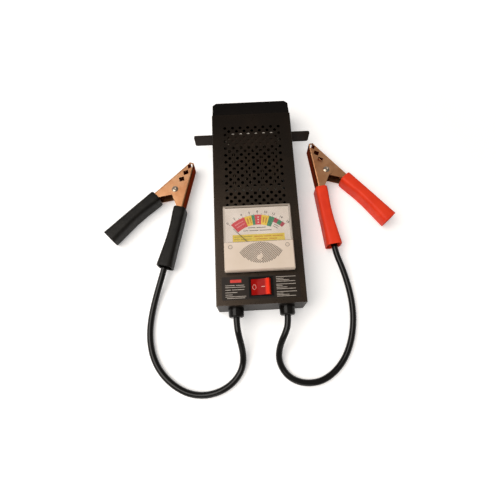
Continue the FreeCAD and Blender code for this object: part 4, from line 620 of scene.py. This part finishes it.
# Cables: both jackets are black. The routes are the part's own, (x, y, z) in its frame.
CABLE_DIAMETER = 8.5
CABLE_ROUNDNESS = 10
CABLE_SMOOTHNESS = 10
BLACK_ROUTE = (
    (-33.0, -165.5, 27.0), (-32.8, -177.0, 27.0), (-30.8, -189.0, 23.8), (-28.2, -200.5, 17.2),
    (-26.6, -212.0, 10.4), (-27.6, -223.5, 5.9), (-33.0, -235.5, 4.3), (-43.2, -246.4, 4.3),
    (-58.5, -254.8, 4.3), (-77.5, -258.4, 4.3), (-98.0, -255.4, 4.3), (-117.5, -244.4, 4.3),
    (-133.6, -228.4, 4.3), (-144.2, -209.0, 4.3), (-149.2, -187.0, 4.3), (-149.2, -165.0, 4.3),
    (-146.0, -145.0, 5.0), (-141.6, -128.6, 7.6), (-136.8, -114.0, 11.4), (-132.8, -101.5, 13.5),
    (-129.9, -89.8, 13.5),
)
RED_ROUTE = (
    (33.0, -165.5, 27.0), (32.6, -177.0, 27.0), (28.4, -187.4, 24.8), (23.4, -197.0, 19.4),
    (20.0, -207.0, 13.0), (19.0, -217.8, 7.8), (22.0, -228.6, 4.9), (28.8, -239.2, 4.3),
    (40.2, -246.8, 4.3), (55.6, -250.2, 4.3), (73.6, -247.8, 4.3), (91.0, -237.4, 4.3),
    (105.4, -221.6, 4.3), (115.6, -201.6, 4.3), (121.8, -179.0, 4.3), (124.0, -156.0, 4.3),
    (122.6, -134.4, 4.8), (118.8, -115.0, 7.4), (113.8, -98.4, 11.2), (108.3, -82.4, 13.5),
    (107.0, -70.5, 13.5),
)


def clamp_cable(colour, route):
    """The jacketed cable from one gland to its clamp."""
    curve = bpy.data.curves.new(colour + "_cable_jacket", "CURVE")
    curve.dimensions = "3D"
    curve.bevel_depth = CABLE_DIAMETER / 2 * MM
    curve.bevel_resolution = CABLE_ROUNDNESS
    curve.use_fill_caps = True
    spline = curve.splines.new("NURBS")
    spline.points.add(len(route) - 1)
    for point, place in zip(spline.points, route):
        point.co = metres(*place) + (1.0,)
    spline.order_u = 3
    spline.use_endpoint_u = True
    spline.resolution_u = CABLE_SMOOTHNESS
    curve.materials.append(jacket)
    cable = bpy.data.objects.new(colour + "_cable_jacket", curve)
    scene.collection.objects.link(cable)
    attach(cable, "case")
    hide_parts(colour + "_cable")
    return cable


clamp_cable("black", BLACK_ROUTE)
clamp_cable("red", RED_ROUTE)


# Printed pieces: thin layers of ink on the dial, the label and the rocker

INK_SINK = 0.02
INK_RISE = 0.05


def bar(x0, x1, y0, y1):
    """Outline of a bar whose heights count from the lower end."""
    return [(x0, LOWER_END + y0), (x1, LOWER_END + y0), (x1, LOWER_END + y1), (x0, LOWER_END + y1)]


# Dial print: radii and angles are about the needle's pivot, and angles are in degrees
NEEDLE_PIVOT = 64.0
ARC_STEP = 1.5
ARC_INNER = 39.0
ARC_MIDDLE = 46.5
ARC_OUTER = 53.0
# The coloured arc, as (start, end, inner radius, ink)
ARC_BANDS = (
    (131.0, 108.7, ARC_INNER, "red"), (108.7, 98.3, ARC_INNER, "yellow"), (98.3, 93.5, ARC_INNER, "green"),
    (93.5, 83.3, ARC_INNER, "red"), (83.3, 72.3, ARC_INNER, "yellow"), (72.3, 64.1, ARC_INNER, "green"),
    (64.1, 58.0, ARC_MIDDLE, "dull red"), (58.0, 52.0, ARC_MIDDLE, "green"),
    (52.0, 47.0, ARC_MIDDLE, "dull red"),
)
# Marks on and below the arc, as (inner radius, height, start, end, ink, layer)
ARC_MARKS = (
    (44.0, 0.9, 127.5, 112.5, "pale", 1), (48.0, 0.9, 127.5, 112.5, "pale", 1),
    (41.6, 1.5, 89.4, 87.4, "white", 1), (45.2, 1.5, 89.4, 87.4, "white", 1),
    (48.8, 1.5, 89.4, 87.4, "white", 1),
    (42.0, 8.0, 106.5, 104.0, "orange", 1), (42.0, 8.0, 102.0, 100.0, "orange", 1),
    (42.0, 8.0, 81.0, 78.6, "orange", 1), (42.0, 8.0, 76.6, 74.4, "orange", 1),
    (41.2, 0.7, 61.0, 51.5, "black", 0), (44.0, 0.7, 61.0, 51.5, "black", 0),
)
# Rules and the mustard bar, as (left, right, place, height, ink, layer)
DIAL_RULES = (
    (-12.5, -3.0, 98.6, 0.8, "black", 0), (-1.5, 10.5, 98.6, 0.8, "black", 0),
    (-19.0, -12.6, 94.6, 0.8, "black", 0), (-11.0, 1.0, 94.6, 0.8, "black", 0),
    (2.4, 18.0, 94.6, 0.8, "black", 0),
    (-33.0, 34.3, 80.5, 9.5, "bar", 0),
    (-31.0, -20.0, 86.6, 0.8, "olive", 1), (-18.5, -8.0, 86.6, 0.8, "olive", 1),
    (-31.0, -24.0, 83.2, 0.8, "olive", 1), (-22.5, -9.0, 83.2, 0.8, "olive", 1),
    (-5.0, 6.0, 86.2, 1.3, "orange", 1), (7.5, 17.0, 86.2, 1.3, "orange", 1),
    (18.5, 32.0, 86.2, 1.3, "orange", 1),
    (-3.0, 12.0, 82.6, 1.3, "orange", 1), (14.0, 24.0, 82.6, 1.3, "orange", 1),
)
DIAL_INKS = {"red": red_ink, "dull red": dull_red_ink, "yellow": yellow_ink, "green": green_ink,
             "black": black_ink, "white": white_ink, "pale": pale_ink, "bar": bar_ink, "olive": olive_ink,
             "orange": orange_ink}
INK_SLOT = {name: slot for slot, name in enumerate(DIAL_INKS)}
SCALE_START = 132.6
SCALE_END = 46.2
SCALE_STEPS = 16
TICK_INNER = 53.4
TICK_OUTER = 54.6
TICK_HALF = 0.28
NUMBER_RADIUS = 57.3
NUMBER_HEIGHT = 4.6
NUMBER_WEIGHT = 0.06
NUMBER_GAP = 2
NUMBER_WELD = 0.015


def band(inner, outer, start, end):
    """Outline of an arc band between two radii and two angles."""
    steps = max(2, round(abs(end - start) / ARC_STEP))
    angles = [math.radians(start + (end - start) * i / steps) for i in range(steps + 1)]
    pivot = LOWER_END + NEEDLE_PIVOT
    rim = [(outer * math.cos(a), pivot + outer * math.sin(a)) for a in angles]
    return rim + [(inner * math.cos(a), pivot + inner * math.sin(a)) for a in reversed(angles)]


def scale_angle(value):
    """Where on the arc a value of the scale stands."""
    return SCALE_START + (SCALE_END - SCALE_START) * value / SCALE_STEPS


def dial_print():
    """The coloured arc, its scale, the plain rules below it and the mustard bar."""
    mesh = bmesh.new()

    def lay(outline, shade, layer=0):
        low = DIAL_FACE - INK_SINK + layer * INK_RISE
        slab(mesh, outline, low, low + INK_SINK + INK_RISE, INK_SLOT[shade])

    for start, end, inner, shade in ARC_BANDS:
        lay(band(inner, ARC_OUTER, start, end), shade)
    for value in range(SCALE_STEPS + 1):
        angle = scale_angle(value)
        lay(band(TICK_INNER, TICK_OUTER, angle + TICK_HALF, angle - TICK_HALF), "black")
    for radius, height, start, end, shade, layer in ARC_MARKS:
        lay(band(radius, radius + height, start, end), shade, layer)
    for left, right, place, height, shade, layer in DIAL_RULES:
        lay(bar(left, right, place, place + height), shade, layer)
    return set_down("dial_print", mesh, DIAL_INKS.values(), "case")


def dial_numbers():
    """Plain even numbers round the arc."""
    mesh = bmesh.new()
    for value in range(0, SCALE_STEPS + 1, NUMBER_GAP):
        text = bpy.data.curves.new("number", "FONT")
        text.body = str(value)
        text.size = NUMBER_HEIGHT * MM
        text.offset = NUMBER_WEIGHT * MM
        text.align_x = "CENTER"
        text.align_y = "CENTER"
        text.extrude = INK_RISE / 2 * MM
        holder = bpy.data.objects.new("number", text)
        drawn = bpy.data.meshes.new_from_object(holder)
        angle = math.radians(scale_angle(value))
        place = metres(NUMBER_RADIUS * math.cos(angle),
                       LOWER_END + NEEDLE_PIVOT + NUMBER_RADIUS * math.sin(angle), DIAL_FACE + INK_SINK)
        drawn.transform(Matrix.Translation(place) @ Matrix.Rotation(angle - math.pi / 2, 4, "Z"))
        mesh.from_mesh(drawn)
        bpy.data.objects.remove(holder)
        bpy.data.curves.remove(text)
        bpy.data.meshes.remove(drawn)
    bmesh.ops.remove_doubles(mesh, verts=mesh.verts, dist=NUMBER_WELD * MM)
    return set_down("dial_numbers", mesh, [black_ink], "case")


# Fan of fine ribs moulded in the cream cover, round the zero screw. They are about 0.3 mm wide in life, and
# drawn wider so that they show.
FAN_LEFT = -25.0
FAN_RIGHT = 29.5
FAN_TIP = 64.8
FAN_TOP = 77.4
FAN_BOTTOM = 49.6
CLEAR_WIDE = 2.2
CLEAR_TALL = 5.6
CLEAR_PLACE = 58.4
RIB_LEAN = 52.0
RIB_PITCH = 1.75
RIB_WIDTH = 0.8
RIB_RISE = 0.14
RIB_STEP = 0.25
RIB_LINES = 24
RIB_SHORTEST = 4

# The ribs' dark brown is painted shade, standing in for the shade in the fine moulding.
rib_shade = finish("shaded_cream_abs", ("#453C32", "#5F5344"), patch=8, grain=0.8, relief=0.01,
                   gloss=(0.45, 0.6))


def in_fan(x, y):
    """Whether a point lies between the fan's two arcs and outside the clear diamond in its middle."""
    middle = (FAN_LEFT + FAN_RIGHT) / 2
    half = (FAN_RIGHT - FAN_LEFT) / 2
    rise = FAN_TOP - FAN_TIP
    drop = FAN_TIP - FAN_BOTTOM
    upper = (half ** 2 + rise ** 2) / (2 * rise)
    lower = (half ** 2 + drop ** 2) / (2 * drop)
    under_top = math.hypot(x - middle, y - (FAN_TOP - upper)) < upper
    over_bottom = math.hypot(x - middle, y - (FAN_BOTTOM + lower)) < lower
    clear = abs(x - middle) / CLEAR_WIDE + abs(y - CLEAR_PLACE) / CLEAR_TALL
    return under_top and over_bottom and clear > 1


def fan_ribs():
    """Ribs that lean outwards from the middle, each walked in short steps and laid where it is in the fan."""
    mesh = bmesh.new()
    middle = (FAN_LEFT + FAN_RIGHT) / 2
    reach = round((FAN_RIGHT - FAN_LEFT) / RIB_STEP)
    for side in (-1, 1):
        way = Vector((side * math.cos(math.radians(RIB_LEAN)), math.sin(math.radians(RIB_LEAN))))
        across = Vector((-way.y, way.x))
        for line in range(-RIB_LINES, RIB_LINES + 1):
            start = Vector((middle, FAN_TIP)) + across * line * RIB_PITCH
            spots = [start + way * RIB_STEP * step for step in range(-reach, reach + 1)]
            run = []
            for spot in spots:
                if (spot.x - middle) * side > 0 and in_fan(spot.x, spot.y):
                    run.append(spot)
                    continue
                if len(run) > RIB_SHORTEST:
                    edge = across * RIB_WIDTH / 2
                    corners = [run[0] - edge, run[-1] - edge, run[-1] + edge, run[0] + edge]
                    outline = [(corner.x, LOWER_END + corner.y) for corner in corners]
                    slab(mesh, outline, MASK_FACE - INK_SINK, MASK_FACE + RIB_RISE)
                run = []
    return set_down("mask_fan_ribs", mesh, [rib_shade], "case")


# Dark steel rings round the cover's two screws, put in their recesses as painted shade
SHADOW_RING_INNER = 2.15
SHADOW_RING_OUTER = 2.65
SHADOW_RING_SHEET = 0.35
SHADOW_RING_SIDES = 32
SCREW_HEAD = 2.1
SCREW_RECESS = 1.0


def screw_washers():
    """A flat dark ring round the recess of each screw, as painted shade."""
    mesh = bmesh.new()
    low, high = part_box("meter_screws")
    drop = MASK_FACE - SCREW_RECESS
    turns = [2 * math.pi * i / SHADOW_RING_SIDES for i in range(SHADOW_RING_SIDES)]
    for x in (low[0] / MM + SCREW_HEAD, high[0] / MM - SCREW_HEAD):
        y = (low[1] + high[1]) / 2 / MM
        rings = []
        for radius, height in ((SHADOW_RING_INNER, drop), (SHADOW_RING_OUTER, drop),
                               (SHADOW_RING_OUTER, drop + SHADOW_RING_SHEET), (SHADOW_RING_INNER, drop + SHADOW_RING_SHEET)):
            rings.append([mesh.verts.new(metres(x + radius * math.cos(a), y + radius * math.sin(a), height))
                          for a in turns])
        for i, ring in enumerate(rings):
            before = rings[i - 1]
            for j in range(SHADOW_RING_SIDES):
                mesh.faces.new((before[j - 1], before[j], ring[j], ring[j - 1]))
    return set_down("mask_screw_shadow_rings", mesh, [spring_steel], "case")


# Label print: plain rules, as (left, right, place), and one red bar
LABEL_RULES = (
    (-45.0, -33.0, 24.8), (-31.5, -21.0, 24.8), (-45.0, -20.0, 22.4),
    (-45.0, -38.0, 19.2), (-36.5, -21.0, 19.2),
    (-45.0, -30.0, 15.8), (-45.0, -36.0, 13.0), (-45.0, -19.0, 10.6), (-43.0, -20.5, 8.6),
    (19.5, 44.5, 33.4), (19.5, 29.0, 31.2), (19.5, 36.0, 29.2), (19.5, 43.5, 27.4),
    (19.5, 44.0, 23.8), (19.5, 27.0, 21.8), (19.5, 33.0, 19.8), (19.5, 43.5, 17.8),
    (19.5, 44.5, 14.2), (19.5, 27.5, 12.2), (19.5, 35.0, 10.4), (19.5, 43.0, 8.6),
)
RULE_WIDTH = 0.6
RED_BAR = (-38.5, -24.5, 28.6, 32.4)


def label_print():
    """Thin plates of ink on the film."""
    mesh = bmesh.new()
    low = LABEL_FACE - INK_SINK
    high = LABEL_FACE + INK_RISE
    for x0, x1, y in LABEL_RULES:
        slab(mesh, bar(x0, x1, y, y + RULE_WIDTH), low, high)
    slab(mesh, bar(*RED_BAR), low, high, 1)
    return set_down("label_print", mesh, [grey_ink, signal_ink], "case")


# Rocker marks: a ring and a dash, laid on the key's two faces
RING_PLACE = -8.4
RING_WIDE = 1.9
RING_TALL = 2.7
RING_LINE = 0.45
RING_SIDES = 24
DASH_PLACE = 2.6
DASH_LENGTH = 4.2
DASH_WIDTH = 0.7
SWITCH_MIDDLE = 21.5
RAY_ROOM = 10


def key_marks():
    """Ink that follows the key's face, which rays from above find."""
    bpy.context.view_layer.update()
    key = nodes["switch_rocker"]
    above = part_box("switch_rocker")[1][2] + RAY_ROOM * MM
    mesh = bmesh.new()

    def on_key(x, y, lift):
        start = Vector((x * MM, (LOWER_END + SWITCH_MIDDLE + y) * MM, above))
        spot = key.ray_cast(start, Vector((0, 0, -1)))[1]
        return mesh.verts.new((spot.x, spot.y, spot.z + lift * MM))

    def strip(rows, ring):
        """A closed strip over the key's face, from rows of two edge points each. A ring's last row joins its
        first."""
        edges = [[[on_key(x, y, lift) for lift in (-INK_SINK, INK_RISE)] for x, y in row] for row in rows]
        for i in range(0 if ring else 1, len(edges)):
            (a, b), (d, c) = edges[i - 1], edges[i]
            mesh.faces.new((a[1], b[1], c[1], d[1]))
            mesh.faces.new((d[0], c[0], b[0], a[0]))
            mesh.faces.new((b[0], c[0], c[1], b[1]))
            mesh.faces.new((d[0], a[0], a[1], d[1]))
        if not ring:
            for a, b in (edges[0], edges[-1]):
                mesh.faces.new((a[0], b[0], b[1], a[1]))

    angles = [2 * math.pi * i / RING_SIDES for i in range(RING_SIDES)]
    strip([[(RING_PLACE + (RING_WIDE + line) * math.cos(a), (RING_TALL + line) * math.sin(a))
            for line in (0, RING_LINE)] for a in angles], True)
    strip([[(x, -DASH_WIDTH / 2), (x, DASH_WIDTH / 2)]
           for x in (DASH_PLACE - DASH_LENGTH / 2, DASH_PLACE, DASH_PLACE + DASH_LENGTH / 2)], False)
    return set_down("rocker_marks", mesh, [key_ink], "rocker")


dial_print()
dial_numbers()
fan_ribs()
screw_washers()
label_print()
key_marks()


# Floor, lamps and surroundings

FLOOR_SIZE = 8000
FLOOR_DROP = 0.3
FLOOR_SHEET = 1
# Lamps, as (name, place, size, watts)
LAMPS = (
    ("softbox", (-790, -100, 1450), (1500, 1300), 25.0),
    ("fill", (-150, -1400, 420), (900, 500), 2.0),
)
LAMP_SHADE = "#FFF9F3"
# Room light overhead and at the horizon, and the heights (as a sine) between which the white wall fades
ZENITH_LIGHT = 0.4
HORIZON_LIGHT = 0.24
WALL_FADE = (0.12, 0.38)
# White that the floor adds under the object and far out, and the distances between which it changes
FLOOR_LIFT = 0.29
FAR_LIFT = 0.9
WHITE_START = 350
WHITE_END = 1500


def lay_floor():
    """A white table top. Rays that are seen, also in metal and glass, get more white from it, most far out,
    so that the object keeps its shadow."""
    mesh = bmesh.new()
    half = FLOOR_SIZE / 2
    corners = [(-half, -half), (half, -half), (half, half), (-half, half)]
    slab(mesh, corners, -FLOOR_DROP - FLOOR_SHEET, -FLOOR_DROP)
    material = finish("white_laminate", ("#F4F4F4", "#FAFAFA"), patch=400, grain=3.0, relief=0.005,
                      gloss=(0.6, 0.7))
    tree = material.node_tree
    surface = tree.nodes["surface"]
    path = add(tree, "LightPath", {})
    direct = add(tree, "Math", {0: path.outputs["Is Camera Ray"], 1: path.outputs["Is Glossy Ray"]},
                 operation="MAXIMUM")
    seen = add(tree, "Math", {0: direct.outputs["Value"], 1: path.outputs["Is Transmission Ray"]},
               operation="MAXIMUM")
    out = add(tree, "VectorMath", {0: add(tree, "TexCoord", {}).outputs["Object"]}, operation="LENGTH")
    white = add(tree, "MapRange", {"Value": out.outputs["Value"], "From Min": WHITE_START * MM,
                                   "From Max": WHITE_END * MM, "To Min": FLOOR_LIFT, "To Max": FAR_LIFT})
    lift = add(tree, "Math", {0: seen.outputs["Value"], 1: white.outputs["Result"]}, operation="MULTIPLY")
    surface.inputs["Emission Color"].default_value = linear("#FFFFFF")
    tree.links.new(lift.outputs["Value"], surface.inputs["Emission Strength"])
    place_mesh("table_top", mesh, [material])


def hang_softbox(name, place, size, watts):
    """A soft rectangular lamp that faces the object."""
    lamp = bpy.data.lights.new(name, "AREA")
    lamp.shape = "RECTANGLE"
    lamp.size = size[0] * MM
    lamp.size_y = size[1] * MM
    lamp.energy = watts
    lamp.color = linear(LAMP_SHADE)[:3]
    box = bpy.data.objects.new(name, lamp)
    box.location = metres(*place)
    box.rotation_euler = (-box.location).to_track_quat("-Z", "Y").to_euler()
    scene.collection.objects.link(box)


def light_room():
    """Even room light, brighter overhead than at the horizon. The camera sees plain white, and metal and
    glass see a low white wall round the table."""
    world = bpy.data.worlds.new("room")
    world.use_nodes = True
    tree = world.node_tree
    tree.nodes.clear()
    way = add(tree, "TexCoord", {})
    height = add(tree, "SeparateXYZ", {"Vector": way.outputs["Generated"]})
    level = add(tree, "MapRange", {"Value": height.outputs["Z"], "From Min": 0.0, "From Max": 1.0,
                                   "To Min": HORIZON_LIGHT, "To Max": ZENITH_LIGHT})
    path = add(tree, "LightPath", {})
    mirrored = add(tree, "Math", {0: path.outputs["Is Glossy Ray"], 1: path.outputs["Is Transmission Ray"]},
                   operation="MAXIMUM")
    wall = add(tree, "MapRange", {"Value": height.outputs["Z"], "From Min": WALL_FADE[0],
                                  "From Max": WALL_FADE[1], "To Min": 1.0, "To Max": 0.0})
    walled = add(tree, "Math", {0: mirrored.outputs["Value"], 1: wall.outputs["Result"]},
                 operation="MULTIPLY")
    white = add(tree, "Math", {0: walled.outputs["Value"], 1: path.outputs["Is Camera Ray"]},
                operation="MAXIMUM")
    strength = add(tree, "Mix", {"Factor": white.outputs["Value"], MIX_VALUE_FIRST: level.outputs["Result"],
                                 MIX_VALUE_SECOND: 1.0}, data_type="FLOAT")
    glow = add(tree, "Background", {"Color": linear("#FFFAF5"), "Strength": strength.outputs[0]})
    add(tree, "OutputWorld", {"Surface": glow.outputs["Background"]})
    scene.world = world


lay_floor()
for lamp in LAMPS:
    hang_softbox(*lamp)
light_room()
scene.view_settings.view_transform = "Standard"

bpy.context.view_layer.update()
